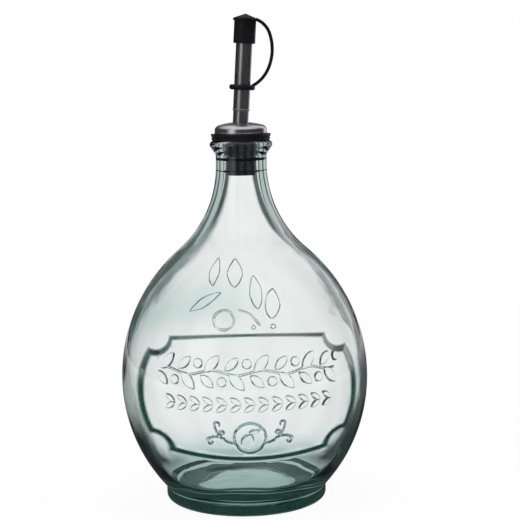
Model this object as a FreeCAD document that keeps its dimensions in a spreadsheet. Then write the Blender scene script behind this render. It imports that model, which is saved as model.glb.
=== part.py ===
"""Parametric model of a round glass oil cruet with a finned rubber pourer.

Millimetres, +Z up.  The origin is the centre of the face that the cruet stands on,
and the raised panel faces -Y.  Every size is a cell of the sheet `sizes`.
"""
import FreeCAD, Part
import Sketcher
import math
import os
import re

SIZES = {
    # bottle: outside
    "belly_radius": 67.5,           # widest radius of the body
    "belly_height": 67.5,           # height of the widest circle
    "upper_arc": 93.0,              # radius of the shoulder above the belly
    "neck_radius": 13.8,
    "neck_start": 184.0,            # height where the neck becomes straight
    "foot_radius": 44.2,
    "foot_height": 7.46,            # height where the foot runs into the side
    "foot_round": 2.5,              # round at the bottom edge of the foot
    "rest_ring_width": 6.0,         # flat ring that touches the table
    "push_up": 2.2,                 # hollow in the middle of the underside
    "push_up_slope_width": 9.0,     # from the rest ring in to the hollow's flat middle
    "mouth_height": 197.0,          # top of the lip
    "lip_overhang": 3.2,            # the lip ring stands out this far from the neck
    "lip_round": 2.2,               # half round edge of the lip ring
    "lip_length": 7.6,              # from the mouth down to where the ring runs into the neck
    # bottle: inside
    "body_wall": 3.9,
    "neck_wall": 4.6,
    "floor_thickness": 9.0,
    "floor_round": 16.0,            # inside corner between floor and side
    "mouth_round": 0.9,             # round of the bore's upper edge
    # raised panel
    "panel_relief": 2.2,            # how far it stands out from the body
    "panel_edge_round": 1.2,
    "panel_corner_round": 2.0,      # at the two ends of each notch
    "panel_height_above_base": 69.5,
    "panel_half_width": 55.9,       # at mid height, where the sides bow out most
    "panel_half_height": 32.0,      # at the middle, where top and bottom bow out most
    "panel_tip_half_width": 50.7,
    "panel_tip_half_height": 20.7,  # where a side meets a notch
    "panel_end_half_width": 39.4,
    "panel_end_half_height": 29.1,  # where top or bottom meets a notch
    "notch_radius": 10.0,
    # stopper
    "flange_inset": 0.7,            # from the lip's edge to the flange's upper edge
    "flange_height": 3.45,
    "flange_taper": 0.7,            # the flange is this much smaller at its underside
    "flange_groove": 0.45,          # depth of the groove round the flange
    "flange_groove_width": 0.7,
    "plug_length": 5.6,             # full width part under the flange
    "plug_taper": 1.2,              # height over which the plug draws in to the core
    "plug_clearance": 0.15,
    "core_gap": 1.3,                # between the core and the bore
    "stopper_reach": 18.7,          # from the lip down to the stopper's end
    "upper_fin_depth": 10.0,        # middle of the fin below the lip
    "upper_fin_height": 1.4,
    "lower_fin_depth": 16.6,
    "lower_fin_height": 0.9,
    "fin_taper": 0.5,               # a fin is this much thicker at its root
    "fin_clearance": 0.1,
    # metal collar
    "flange_ledge": 2.2,            # the flange stands out this far round the collar
    "collar_side": 2.75,
    "collar_dome": 3.7,             # rise of the domed top
    "dome_radius": 45.0,            # its flat middle
    "dome_edge_radius": 4.0,        # its rounded shoulder
    # spout
    "spout_radius": 4.4,
    "spout_wall": 0.9,
    "spout_step": 0.2,              # the tube is this much slimmer below the bead
    "spout_lean": 3.6,              # degrees from the bottle's axis, towards +X
    "spout_clearance": 0.05,
    "spout_length": 54.2,           # above the collar
    "bead_height": 6.6,             # above the collar
    "bead_width": 1.3,
    "bead_proud": 0.22,
    "spout_end_gap": 0.6,           # the spout stops this much above the stopper's end
    # cap, strap and ring, moulded in one
    "cap_clearance": 0.1,
    "cap_wall": 1.4,
    "cap_depth": 12.2,              # length of the socket over the spout
    "cap_edge_round": 0.6,
    "hat_overhang": 0.7,            # the cap's brim stands out this far
    "hat_height": 1.5,
    "hat_edge_round": 0.5,
    "hat_overlap": 0.1,             # the socket's ceiling is this far above the hat's underside
    "cone_height": 2.3,
    "strap_thickness": 1.4,
    "strap_width": 2.8,
    "strap_stand": 8.25,            # from the ring out to the middle of the strap, at its widest
    "strap_widest_height": 38.4,    # above the collar
    "strap_arc": 26.0,
    "strap_upper_arc": 12.0,
    "strap_lower_arc": 19.0,
    "strap_upper_turn": 22.0,       # degrees of the long arc above its widest point
    "strap_lower_turn": 20.0,
    "strap_upper_end": 74.0,        # degrees at which the strap runs into the hat
    "strap_lower_end": 60.0,        # degrees at which it runs into the ring
    "ring_wall": 2.4,
    "ring_height": 2.8,
    "ring_place": 18.7,             # middle of the ring above the collar
    "ring_bevel": 0.8,
    "ring_clearance": 0.15,
}
DERIVED = {
    "foot_inset": "belly_radius - foot_radius",
    "lower_arc": "(foot_inset ^ 2 + (belly_height - foot_height) ^ 2) / (2 * foot_inset)",
    "bore_radius": "neck_radius - neck_wall",
    "lip_radius": "neck_radius + lip_overhang",
    "flange_radius": "lip_radius - flange_inset",
    "flange_top": "mouth_height + flange_height",
    "collar_radius": "flange_radius - flange_ledge",
    "collar_top": "flange_top + collar_side + collar_dome",
    "core_radius": "bore_radius - core_gap",
    "spout_bore": "spout_radius - spout_wall",
    "spout_neck_radius": "spout_radius - spout_step",
    "spout_hole_radius": "spout_neck_radius + spout_clearance",
    "cap_socket": "spout_radius + cap_clearance",
    "cap_radius": "cap_socket + cap_wall",
    "hat_radius": "cap_radius + hat_overhang",
    "ring_bore": "spout_radius + ring_clearance",
    "ring_radius": "ring_bore + ring_wall",
    "strap_reach": "ring_radius + strap_stand",
}
OVERRUN = 2.0                       # how far a cutter runs past the face that it opens
NORMAL = FreeCAD.Vector(0, 0, 1)

doc = FreeCAD.newDocument("cruet")
sheet = doc.addObject("Spreadsheet::Sheet", "sizes")
rows = {**SIZES, **{alias: f"={formula}" for alias, formula in DERIVED.items()}}
for row, (alias, value) in enumerate(rows.items(), start=1):
    sheet.set(f"A{row}", alias)
    sheet.set(f"B{row}", str(value))
    sheet.setAlias(f"B{row}", alias)
doc.recompute()


def size(alias):
    """The value of one cell of the sheet."""
    return float(getattr(sheet, alias))


def cells(text):
    """An expression in aliases, with each alias made a reference to the sheet."""
    return re.sub("[a-z_]+", lambda word: f"sizes.{word[0]}" if word[0] in rows else word[0], text)


def number(text):
    """The value of an expression in aliases, read from a spare cell of the sheet."""
    sheet.set("D1", "=" + text)
    doc.recompute([sheet])
    value = float(sheet.get("D1"))
    sheet.clear("D1")
    return value


def polar(centre, radius, angle):
    return centre[0] + radius * math.cos(angle), centre[1] + radius * math.sin(angle)


# ---------------------------------------------------------------- sketch helpers

def line(start, end):
    """A straight segment, with the numbers of its first and last points."""
    return Part.LineSegment(FreeCAD.Vector(*start, 0), FreeCAD.Vector(*end, 0)), 1, 2


def arc(centre, radius, first, last):
    """An arc travelled from angle first to angle last, either way round."""
    circle = Part.Circle(FreeCAD.Vector(*centre, 0), NORMAL, radius)
    if last > first:
        return Part.ArcOfCircle(circle, first, last), 1, 2
    return Part.ArcOfCircle(circle, last, first), 2, 1


class Outline:
    """A closed chain of segments in a sketch on the upright plane of a body.

    Each segment ends where the next one starts, and those listed in smooth run on into
    the next without a corner.
    """

    def __init__(self, body, name, segments, smooth=(), lift=None):
        self.sketch = body.newObject("Sketcher::SketchObject", name)
        plane = next(item for item in body.Origin.OriginFeatures if item.Role == "XZ_Plane")
        self.sketch.AttachmentSupport = [(plane, "")]
        self.sketch.MapMode = "FlatFace"
        if lift:
            self.sketch.setExpression("AttachmentOffset.Base.y", cells(lift))
        self.ends = []
        for shape, first, last in segments:
            index = self.sketch.addGeometry(shape, False)
            self.ends.append(((index, first), (index, last)))
        for index, (_, end) in enumerate(self.ends):
            start = self.start((index + 1) % len(self.ends))
            self.rule("Tangent" if index in smooth else "Coincident", *end, *start)

    def start(self, segment):
        return self.ends[segment][0]

    def end(self, segment):
        return self.ends[segment][1]

    def rule(self, kind, *where):
        self.sketch.addConstraint(Sketcher.Constraint(kind, *where))

    def sized(self, kind, where, text):
        """A dimension, given as an expression in the sheet's aliases."""
        index = self.sketch.addConstraint(Sketcher.Constraint(kind, *where, number(text)))
        self.sketch.setExpression(f"Constraints[{index}]", cells(text))

    def across(self, point, text):
        self.sized("DistanceX", (-1, 1, *point), text)

    def up(self, point, text):
        self.sized("DistanceY", (-1, 1, *point), text)

    def radius(self, segment, text):
        self.sized("Radius", (segment,), text)

    def on_axis(self, point):
        self.rule("PointOnObject", *point, -2)

    def level(self, first, second):
        self.rule("Horizontal", *first, *second)


def new_body(name):
    return doc.addObject("PartDesign::Body", name)


def revolve(body, outline, name):
    """A full turn of an outline about the upright axis of its sketch."""
    turn = body.newObject("PartDesign::Revolution", name)
    turn.Profile = outline.sketch
    turn.ReferenceAxis = (outline.sketch, ["V_Axis"])
    turn.Angle = 360.0
    doc.recompute()
    return turn


def boolean(kind, name, base, tool):
    result = doc.addObject(kind, name)
    result.Base = base
    result.Tool = tool
    doc.recompute()
    return result


# ---------------------------------------------------------------- bottle

def side_and_neck(lower, upper, neck, lower_start):
    """The lower arc, the upper arc and the hollow neck arc, each running into the next."""
    belly, height = size("belly_radius"), size("belly_height")
    across, rise = neck - belly + size("upper_arc"), size("neck_start") - height
    hollow = (across ** 2 + rise ** 2 - upper ** 2) / (2 * (upper - across))
    slope = math.atan2(rise, across + hollow)
    return [
        arc((belly - size("lower_arc"), height), lower, lower_start, 0.0),
        arc((belly - size("upper_arc"), height), upper, 0.0, slope),
        arc((neck + hollow, size("neck_start")), hollow, math.pi + slope, math.pi),
    ]


def hold_side_and_neck(outline, lower_side, wall):
    """Tie the three arcs of side_and_neck, the first of which is lower_side, to the sheet."""
    upper_side, hollow_neck = lower_side + 1, lower_side + 2
    widest, top = outline.end(lower_side), outline.end(hollow_neck)
    outline.across(widest, f"belly_radius - {wall}")
    outline.up(widest, "belly_height")
    outline.level((lower_side, 3), widest)
    outline.level((upper_side, 3), widest)
    outline.radius(lower_side, f"lower_arc - {wall}")
    outline.radius(upper_side, f"upper_arc - {wall}")
    outline.level((hollow_neck, 3), top)
    outline.up(top, "neck_start")


def outside_outline(body):
    """Half section of the solid bottle, from its underside to the top of the lip."""
    foot, rounding = size("foot_radius"), size("foot_round")
    rest, rise = foot - rounding - size("rest_ring_width"), size("push_up")
    flat = rest - size("push_up_slope_width")
    lower, upper = size("lower_arc"), size("upper_arc")
    lower_start = -math.acos((foot - size("belly_radius") + lower) / lower)
    foot_top = size("belly_height") + lower * math.sin(lower_start)
    neck, mouth, ring = size("neck_radius"), size("mouth_height"), size("lip_round")
    ring_centre = (size("lip_radius") - ring, mouth - ring)
    lip_start = (neck, mouth - size("lip_length"))
    gap = math.hypot(ring_centre[0] - lip_start[0], ring_centre[1] - lip_start[1])
    aim = math.atan2(lip_start[1] - ring_centre[1], lip_start[0] - ring_centre[0])
    touch = aim + math.acos(ring / gap)
    segments = [
        line((0.0, rise), (flat, rise)),
        line((flat, rise), (rest, 0.0)),
        line((rest, 0.0), (foot - rounding, 0.0)),
        arc((foot - rounding, rounding), rounding, -math.pi / 2, 0.0),
        line((foot, rounding), (foot, foot_top)),
        *side_and_neck(lower, upper, neck, lower_start),
        line((neck, size("neck_start")), lip_start),
        line(lip_start, polar(ring_centre, ring, touch)),
        arc(ring_centre, ring, touch, math.pi / 2),
        line((ring_centre[0], mouth), (0.0, mouth)),
        line((0.0, mouth), (0.0, rise)),
    ]
    (push_up, push_up_slope, rest_ring, foot_edge, foot_side, lower_side, upper_side,
     hollow_neck, neck_side, lip_slope, lip_edge, lip_top, _) = range(len(segments))
    outline = Outline(body, "outside_outline", segments,
                      smooth=[rest_ring, foot_edge, upper_side, lip_slope, lip_edge])
    outline.on_axis(outline.start(push_up))
    outline.rule("Horizontal", push_up)
    outline.up(outline.start(push_up_slope), "push_up")
    rest_start = "foot_radius - foot_round - rest_ring_width"
    outline.across(outline.start(push_up_slope), f"{rest_start} - push_up_slope_width")
    outline.rule("Horizontal", rest_ring)
    outline.rule("PointOnObject", *outline.start(rest_ring), -1)
    outline.across(outline.start(rest_ring), rest_start)
    outline.radius(foot_edge, "foot_round")
    outline.across(outline.end(foot_edge), "foot_radius")
    outline.rule("Vertical", foot_side)
    hold_side_and_neck(outline, lower_side, "0")
    outline.across(outline.end(hollow_neck), "neck_radius")
    outline.rule("Vertical", neck_side)
    outline.up(outline.end(neck_side), "mouth_height - lip_length")
    outline.radius(lip_edge, "lip_round")
    outline.across((lip_edge, 3), "lip_radius - lip_round")
    outline.rule("Horizontal", lip_top)
    outline.up(outline.end(lip_top), "mouth_height")
    outline.on_axis(outline.end(lip_top))
    return outline


def cavity_outline(body):
    """Half section of the space inside, from the floor out through the mouth."""
    lower, upper = number("lower_arc - body_wall"), number("upper_arc - body_wall")
    floor, corner = size("floor_thickness"), size("floor_round")
    centre_x, height = size("belly_radius") - size("lower_arc"), size("belly_height")
    drop = floor + corner - height
    corner_centre = (centre_x + math.sqrt((lower - corner) ** 2 - drop ** 2), floor + corner)
    corner_end = math.atan2(drop, corner_centre[0] - centre_x)
    bore, mouth = size("bore_radius"), size("mouth_height")
    edge, above = size("mouth_round"), mouth + OVERRUN
    segments = [
        line((0.0, floor), (corner_centre[0], floor)),
        arc(corner_centre, corner, -math.pi / 2, corner_end),
        *side_and_neck(lower, upper, bore, corner_end),
        line((bore, size("neck_start")), (bore, mouth - edge)),
        arc((bore + edge, mouth - edge), edge, math.pi, math.pi / 2),
        line((bore + edge, mouth), (bore + edge, above)),
        line((bore + edge, above), (0.0, above)),
        line((0.0, above), (0.0, floor)),
    ]
    (base, base_corner, lower_side, upper_side, hollow_neck, bore_side, bore_edge,
     riser, lid, _) = range(len(segments))
    outline = Outline(body, "cavity_outline", segments,
                      smooth=[base, base_corner, upper_side, bore_side])
    outline.on_axis(outline.start(base))
    outline.rule("Horizontal", base)
    outline.up(outline.start(base), "floor_thickness")
    outline.radius(base_corner, "floor_round")
    hold_side_and_neck(outline, lower_side, "body_wall")
    outline.across(outline.end(hollow_neck), "bore_radius")
    outline.rule("Vertical", bore_side)
    outline.radius(bore_edge, "mouth_round")
    outline.up(outline.end(bore_edge), "mouth_height")
    outline.rule("Vertical", bore_edge, 3, *outline.end(bore_edge))
    outline.rule("Vertical", riser)
    outline.rule("Horizontal", lid)
    outline.up(outline.end(lid), f"mouth_height + {OVERRUN}")
    outline.on_axis(outline.end(lid))
    return outline


def skin_outline(body):
    """Half section of the body swollen by the relief, a little taller than the panel."""
    relief, height = size("panel_relief"), size("belly_height")
    lower, upper = size("lower_arc") + relief, size("upper_arc") + relief
    lower_x = size("belly_radius") - size("lower_arc")
    upper_x = size("belly_radius") - size("upper_arc")
    middle = size("panel_height_above_base")
    low = middle - size("panel_half_height") - OVERRUN
    high = middle + size("panel_half_height") + OVERRUN
    low_angle = math.asin((low - height) / lower)
    high_angle = math.asin((high - height) / upper)
    low_point = polar((lower_x, height), lower, low_angle)
    high_point = polar((upper_x, height), upper, high_angle)
    segments = [
        line((0.0, low), low_point),
        arc((lower_x, height), lower, low_angle, 0.0),
        arc((upper_x, height), upper, 0.0, high_angle),
        line(high_point, (0.0, high)),
        line((0.0, high), (0.0, low)),
    ]
    floor, lower_side, upper_side, ceiling, middle_line = range(len(segments))
    outline = Outline(body, "skin_outline", segments)
    outline.on_axis(outline.start(floor))
    outline.on_axis(outline.end(ceiling))
    outline.rule("Horizontal", floor)
    outline.rule("Horizontal", ceiling)
    span = "panel_height_above_base {} panel_half_height {} " + str(OVERRUN)
    outline.up(outline.start(floor), span.format("-", "-"))
    outline.up(outline.end(ceiling), span.format("+", "+"))
    widest = outline.end(lower_side)
    outline.across(widest, "belly_radius + panel_relief")
    outline.up(widest, "belly_height")
    outline.level((lower_side, 3), widest)
    outline.level((upper_side, 3), widest)
    outline.radius(lower_side, "lower_arc + panel_relief")
    outline.radius(upper_side, "upper_arc + panel_relief")
    return outline


def bow(chord_half, sagitta):
    """Radius of a shallow arc from half its chord and its height."""
    return (chord_half ** 2 + sagitta ** 2) / (2 * sagitta)


def bow_text(chord_half, edge, middle):
    rise = f"( {middle} - {edge} )"
    return f"( {chord_half} * {chord_half} + {rise} * {rise} ) / ( 2 * {rise} )"


def notch(quadrant_x, quadrant_y, end, tip, radius, from_end):
    """One hollow corner of the panel, between its end point and its tip."""
    middle = ((end[0] + tip[0]) / 2, (end[1] + tip[1]) / 2)
    run = (tip[0] - end[0], tip[1] - end[1])
    chord = math.hypot(*run)
    out = math.sqrt(radius ** 2 - chord ** 2 / 4) / chord
    centre = (middle[0] - run[1] * out, middle[1] + run[0] * out)
    angles = [math.atan2(quadrant_y * (point[1] - centre[1]), quadrant_x * (point[0] - centre[0]))
              for point in (end, tip)]
    if not from_end:
        angles.reverse()
    first, last = angles
    if quadrant_x * quadrant_y * (1 if from_end else -1) > 0:
        last = last if last > first else last + 2 * math.pi
    else:
        last = last if last < first else last - 2 * math.pi
    return arc((quadrant_x * centre[0], quadrant_y * centre[1]), radius, first, last)


def panel_outline(body):
    """The panel seen from the front: bowed sides and ends, and four hollow notches."""
    side, top = size("panel_half_width"), size("panel_half_height")
    tip = (size("panel_tip_half_width"), size("panel_tip_half_height"))
    end = (size("panel_end_half_width"), size("panel_end_half_height"))
    hollow = size("notch_radius")
    end_bow, side_bow = bow(end[0], top - end[1]), bow(tip[1], side - tip[0])
    end_turn, side_turn = math.asin(end[0] / end_bow), math.asin(tip[1] / side_bow)
    quarter = math.pi / 2
    segments = [
        arc((side - side_bow, 0.0), side_bow, -side_turn, side_turn),
        notch(1, 1, end, tip, hollow, False),
        arc((0.0, top - end_bow), end_bow, quarter - end_turn, quarter + end_turn),
        notch(-1, 1, end, tip, hollow, True),
        arc((side_bow - side, 0.0), side_bow, 2 * quarter - side_turn, 2 * quarter + side_turn),
        notch(-1, -1, end, tip, hollow, False),
        arc((0.0, end_bow - top), end_bow, -quarter - end_turn, -quarter + end_turn),
        notch(1, -1, end, tip, hollow, True),
    ]
    outline = Outline(body, "panel_outline", segments, lift="panel_height_above_base")
    right, _, upper, _, left, _, lower, _ = range(len(segments))
    tip_point, end_point = outline.end(right), outline.start(upper)
    outline.across(tip_point, "panel_tip_half_width")
    outline.up(tip_point, "panel_tip_half_height")
    outline.across(end_point, "panel_end_half_width")
    outline.up(end_point, "panel_end_half_height")
    outline.rule("Symmetric", *tip_point, *outline.start(right), -1)
    outline.rule("Symmetric", *tip_point, *outline.start(left), -2)
    outline.rule("Symmetric", *outline.start(right), *outline.end(left), -2)
    outline.rule("Symmetric", *end_point, *outline.end(upper), -2)
    outline.rule("Symmetric", *end_point, *outline.end(lower), -1)
    outline.rule("Symmetric", *outline.end(lower), *outline.start(lower), -2)
    side_text = bow_text("panel_tip_half_height", "panel_tip_half_width", "panel_half_width")
    end_text = bow_text("panel_end_half_width", "panel_end_half_height", "panel_half_height")
    for segment in (right, left):
        outline.radius(segment, side_text)
    for segment in (upper, lower):
        outline.radius(segment, end_text)
    for segment in (right + 1, upper + 1, left + 1, lower + 1):
        outline.radius(segment, "notch_radius")
    return outline


def crest_edges(shape):
    """Numbers of the edges round the face of the panel, for the rounding of its rim."""
    relief, height = size("panel_relief"), size("belly_height")
    found = []
    for number, edge in enumerate(shape.Edges, start=1):
        middle = (edge.FirstParameter + edge.LastParameter) / 2
        points = [edge.valueAt(edge.FirstParameter), edge.valueAt(middle),
                  edge.valueAt(edge.LastParameter)]
        on_skin = True
        for point in points:
            alias = "upper_arc" if point.z > height else "lower_arc"
            centre = size("belly_radius") - size(alias)
            reach = math.hypot(math.hypot(point.x, point.y) - centre, point.z - height)
            on_skin = on_skin and abs(reach - size(alias) - relief) < 0.001
        along_belly = all(abs(point.z - height) < 0.001 for point in points)
        if on_skin and not along_belly:
            found.append(number)
    return found


def make_bottle():
    """Hollow bottle of one wall: outside turned, panel raised on it, inside turned out."""
    outside = new_body("outside")
    revolve(outside, outside_outline(outside), "outside_turn")
    skin = new_body("skin")
    revolve(skin, skin_outline(skin), "skin_turn")
    block = new_body("panel_block")
    pad = block.newObject("PartDesign::Pad", "panel_pad")
    pad.Profile = panel_outline(block).sketch
    pad.setExpression("Length", cells("belly_radius + 2 * panel_relief"))
    doc.recompute()
    corners = [f"Edge{index}" for index, edge in enumerate(pad.Shape.Edges, start=1)
               if isinstance(edge.Curve, Part.Line) and abs(edge.Curve.Direction.y) > 0.999]
    rounded = block.newObject("PartDesign::Fillet", "panel_corners")
    rounded.Base = (pad, corners)
    rounded.setExpression("Radius", cells("panel_corner_round"))
    doc.recompute()
    panel = boolean("Part::Common", "panel", skin, block)
    eased = doc.addObject("Part::Fillet", "panel_eased")
    eased.Base = panel
    rounding = size("panel_edge_round")
    eased.Edges = [(number, rounding, rounding) for number in crest_edges(panel.Shape)]
    doc.recompute()
    raised = boolean("Part::Fuse", "raised", outside, eased)
    cavity = new_body("cavity")
    revolve(cavity, cavity_outline(cavity), "cavity_turn")
    bottle = boolean("Part::Cut", "bottle_wall", raised, cavity)
    bottle.Label = "bottle"
    return bottle


# ---------------------------------------------------------------- pourer

def turned(body, name, corners):
    """Turn a section with straight sides: corners are (across, up) in sheet aliases."""
    points = [(number(across), number(up)) for across, up in corners]
    sides = [line(*pair) for pair in zip(points, points[1:] + points[:1])]
    outline = Outline(body, f"{name}_outline", sides)
    for side, (across, up) in enumerate(corners):
        corner = outline.start(side)
        if across == "0":
            outline.on_axis(corner)
        else:
            outline.across(corner, across)
        outline.up(corner, up)
    return revolve(body, outline, f"{name}_turn")


def round_rims(body, feature, rounding, rims):
    """Round the circular edges of a turned feature, each named by its radius and height."""
    wanted = [(number(radius), number(up)) for radius, up in rims]
    edges = []
    for index, edge in enumerate(feature.Shape.Edges, start=1):
        if not isinstance(edge.Curve, Part.Circle):
            continue
        place = (edge.Curve.Radius, edge.Curve.Center.z)
        if any(math.dist(place, rim) < 0.001 for rim in wanted):
            edges.append(f"Edge{index}")
    fillet = body.newObject("PartDesign::Fillet", f"{feature.Name}_eased")
    fillet.Base = (feature, edges)
    fillet.setExpression("Radius", cells(rounding))
    doc.recompute()
    return fillet


def leaning(thing):
    """Stand a body on the top of the collar, leaning as the spout does."""
    thing.Placement.Rotation = FreeCAD.Rotation(FreeCAD.Vector(0, 1, 0), size("spout_lean"))
    thing.setExpression("Placement.Base.z", cells("collar_top"))
    thing.setExpression("Placement.Rotation.Angle", cells("spout_lean"))
    doc.recompute()
    return thing


def spout_hole(name):
    """Cutter for the hole that the spout passes through, with its clearance."""
    body = new_body(name)
    below = f"mouth_height - stopper_reach - collar_top - {OVERRUN}"
    above = str(OVERRUN)
    turned(body, name, [("0", below), ("spout_hole_radius", below),
                        ("spout_hole_radius", above), ("0", above)])
    return leaning(body)


def fin(depth, height):
    """Corners of one fin, from the lower to the upper side of its root."""
    edge = "bore_radius - fin_clearance"
    middle = f"mouth_height - {depth}"
    root = f"( {height} + fin_taper ) / 2"
    return [("core_radius", f"{middle} - {root}"), (edge, f"{middle} - {height} / 2"),
            (edge, f"{middle} + {height} / 2"), ("core_radius", f"{middle} + {root}")]


def make_stopper():
    """Rubber stopper: grooved flange on the lip, plug, core and two fins in the bore."""
    plug = "bore_radius - plug_clearance"
    middle = "mouth_height + flange_height / 2"
    groove = "flange_radius - flange_taper / 2"
    body = new_body("stopper_body")
    turned(body, "stopper", [
        ("0", "mouth_height - stopper_reach"),
        ("core_radius", "mouth_height - stopper_reach"),
        *fin("lower_fin_depth", "lower_fin_height"),
        *fin("upper_fin_depth", "upper_fin_height"),
        ("core_radius", "mouth_height - plug_length - plug_taper"),
        (plug, "mouth_height - plug_length"),
        (plug, "mouth_height"),
        ("flange_radius - flange_taper", "mouth_height"),
        (groove, f"{middle} - flange_groove_width / 2"),
        (f"{groove} - flange_groove", middle),
        (groove, f"{middle} + flange_groove_width / 2"),
        ("flange_radius", "flange_top"),
        ("0", "flange_top"),
    ])
    stopper = boolean("Part::Cut", "stopper_bored", body, spout_hole("stopper_hole"))
    stopper.Label = "stopper"
    return stopper


def collar_outline(body):
    """Half section of the collar: an upright side, a rounded shoulder and a flat dome."""
    radius, base = size("collar_radius"), size("flange_top")
    edge, crown = base + size("collar_side"), size("dome_radius")
    corner, low = size("dome_edge_radius"), size("collar_dome") - crown
    reach = math.hypot(radius, low)
    spread = math.acos((reach ** 2 + corner ** 2 - (crown - corner) ** 2) / (2 * reach * corner))
    centre = polar((radius, edge), corner, math.atan2(low, -radius) + spread)
    if math.dist(centre, (0.0, edge)) > radius:
        centre = polar((radius, edge), corner, math.atan2(low, -radius) - spread)
    first = math.atan2(edge - centre[1], radius - centre[0])
    last = math.atan2(centre[1] - edge - low, centre[0])
    segments = [
        line((0.0, base), (radius, base)),
        line((radius, base), (radius, edge)),
        arc(centre, corner, first, last),
        arc((0.0, edge + low), crown, last, math.pi / 2),
        line((0.0, edge + size("collar_dome")), (0.0, base)),
    ]
    underside, side, shoulder, dome, _ = range(len(segments))
    outline = Outline(body, "collar_outline", segments, smooth=[shoulder])
    outline.on_axis(outline.start(underside))
    outline.rule("Horizontal", underside)
    outline.rule("Vertical", side)
    outline.up(outline.start(side), "flange_top")
    outline.across(outline.start(side), "collar_radius")
    outline.up(outline.end(side), "flange_top + collar_side")
    outline.radius(shoulder, "dome_edge_radius")
    outline.radius(dome, "dome_radius")
    outline.on_axis((dome, 3))
    outline.on_axis(outline.end(dome))
    outline.up(outline.end(dome), "collar_top")
    return outline


def make_collar():
    """Metal collar: a low drum with a domed top, holed for the spout."""
    body = new_body("collar_body")
    revolve(body, collar_outline(body), "collar_turn")
    collar = boolean("Part::Cut", "collar_bored", body, spout_hole("collar_hole"))
    collar.Label = "collar"
    return collar


def make_spout():
    """Open metal tube with a rolled bead, narrower below it where the stopper grips it."""
    below = "mouth_height - stopper_reach + spout_end_gap - collar_top"
    proud = "spout_radius + bead_proud"
    body = new_body("spout_tube")
    turned(body, "spout", [
        ("spout_bore", below),
        ("spout_neck_radius", below),
        ("spout_neck_radius", "bead_height - bead_width / 2"),
        (proud, "bead_height - bead_width / 4"),
        (proud, "bead_height + bead_width / 4"),
        ("spout_radius", "bead_height + bead_width / 2"),
        ("spout_radius", "spout_length"),
        ("spout_bore", "spout_length"),
    ])
    body.Label = "spout"
    return leaning(body)


def strap_outline(body):
    """The strap from the side: three arcs out of the hat, round and into the ring."""
    half = size("strap_thickness") / 2
    radii = [size(alias) for alias in ("strap_upper_arc", "strap_arc", "strap_lower_arc")]
    hat_end, upper, lower, ring_end = [math.radians(size(alias)) for alias in (
        "strap_upper_end", "strap_upper_turn", "strap_lower_turn", "strap_lower_end")]
    middle = (size("strap_reach") - radii[1], size("strap_widest_height"))
    centres = [polar(middle, radii[1] - radii[0], upper), middle,
               polar(middle, radii[1] - radii[2], -lower)]
    turns = [(hat_end, upper), (upper, -lower), (-lower, -ring_end)]
    runs = list(zip(centres, radii, turns))
    outer = [arc(centre, radius + half, *turn) for centre, radius, turn in runs]
    inner = [arc(centre, radius - half, *reversed(turn)) for centre, radius, turn in runs]
    ring_side = line(polar(centres[2], radii[2] + half, -ring_end),
                     polar(centres[2], radii[2] - half, -ring_end))
    hat_side = line(polar(centres[0], radii[0] - half, hat_end),
                    polar(centres[0], radii[0] + half, hat_end))
    segments = [*outer, ring_side, *reversed(inner), hat_side]
    upper_out, long_out, lower_out, root, lower_in, long_in, upper_in, start = range(len(segments))
    outline = Outline(body, "strap_outline", segments,
                      smooth=[upper_out, long_out, lower_in, long_in])
    outline.up((long_out, 3), "strap_widest_height")
    outline.across((long_out, 3), "strap_reach - strap_arc")
    outline.radius(upper_out, "strap_upper_arc + strap_thickness / 2")
    outline.radius(long_out, "strap_arc + strap_thickness / 2")
    outline.radius(lower_out, "strap_lower_arc + strap_thickness / 2")
    outline.radius(long_in, "strap_arc - strap_thickness / 2")
    for out, inside in ((upper_out, upper_in), (long_out, long_in), (lower_out, lower_in)):
        outline.rule("Coincident", out, 3, inside, 3)
    rise = "strap_widest_height {} ( strap_arc + strap_thickness / 2 ) * sin({} * 1 deg)"
    outline.up(outline.end(upper_out), rise.format("+", "strap_upper_turn"))
    outline.up(outline.end(long_out), rise.format("-", "strap_lower_turn"))
    outline.rule("PointOnObject", lower_out, 3, root)
    outline.rule("PointOnObject", upper_out, 3, start)
    outline.sized("Angle", (root,), "( 180 - strap_lower_end ) * 1 deg")
    outline.sized("Angle", (start,), "strap_upper_end * 1 deg")
    return outline


def make_cap():
    """Rubber cap over the spout's end, its strap and the ring on the spout, in one."""
    body = new_body("cap_moulding")
    mouth = "spout_length - cap_depth"
    hat_under = "spout_length - hat_overlap"
    hat_top = f"{hat_under} + hat_height"
    cap = turned(body, "cap", [
        ("cap_socket", mouth),
        ("cap_radius", mouth),
        ("cap_radius", hat_under),
        ("hat_radius", hat_under),
        ("hat_radius", hat_top),
        ("0", f"{hat_top} + cone_height"),
        ("0", "spout_length"),
        ("cap_socket", "spout_length"),
    ])
    cap = round_rims(body, cap, "cap_edge_round", [("cap_radius", mouth)])
    round_rims(body, cap, "hat_edge_round", [("hat_radius", hat_under), ("hat_radius", hat_top)])
    strap = body.newObject("PartDesign::Pad", "strap_pad")
    strap.Profile = strap_outline(body).sketch
    strap.setExpression("Length", cells("strap_width"))
    strap.SideType = "Symmetric"
    doc.recompute()
    low, high = "ring_place - ring_height / 2", "ring_place + ring_height / 2"
    turned(body, "ring", [
        ("ring_bore", low),
        ("ring_radius - ring_bevel", low),
        ("ring_radius", f"{low} + ring_bevel"),
        ("ring_radius", f"{high} - ring_bevel"),
        ("ring_radius - ring_bevel", high),
        ("ring_bore", high),
    ])
    body.Label = "cap"
    return leaning(body)


# ---------------------------------------------------------------- build and write

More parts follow.
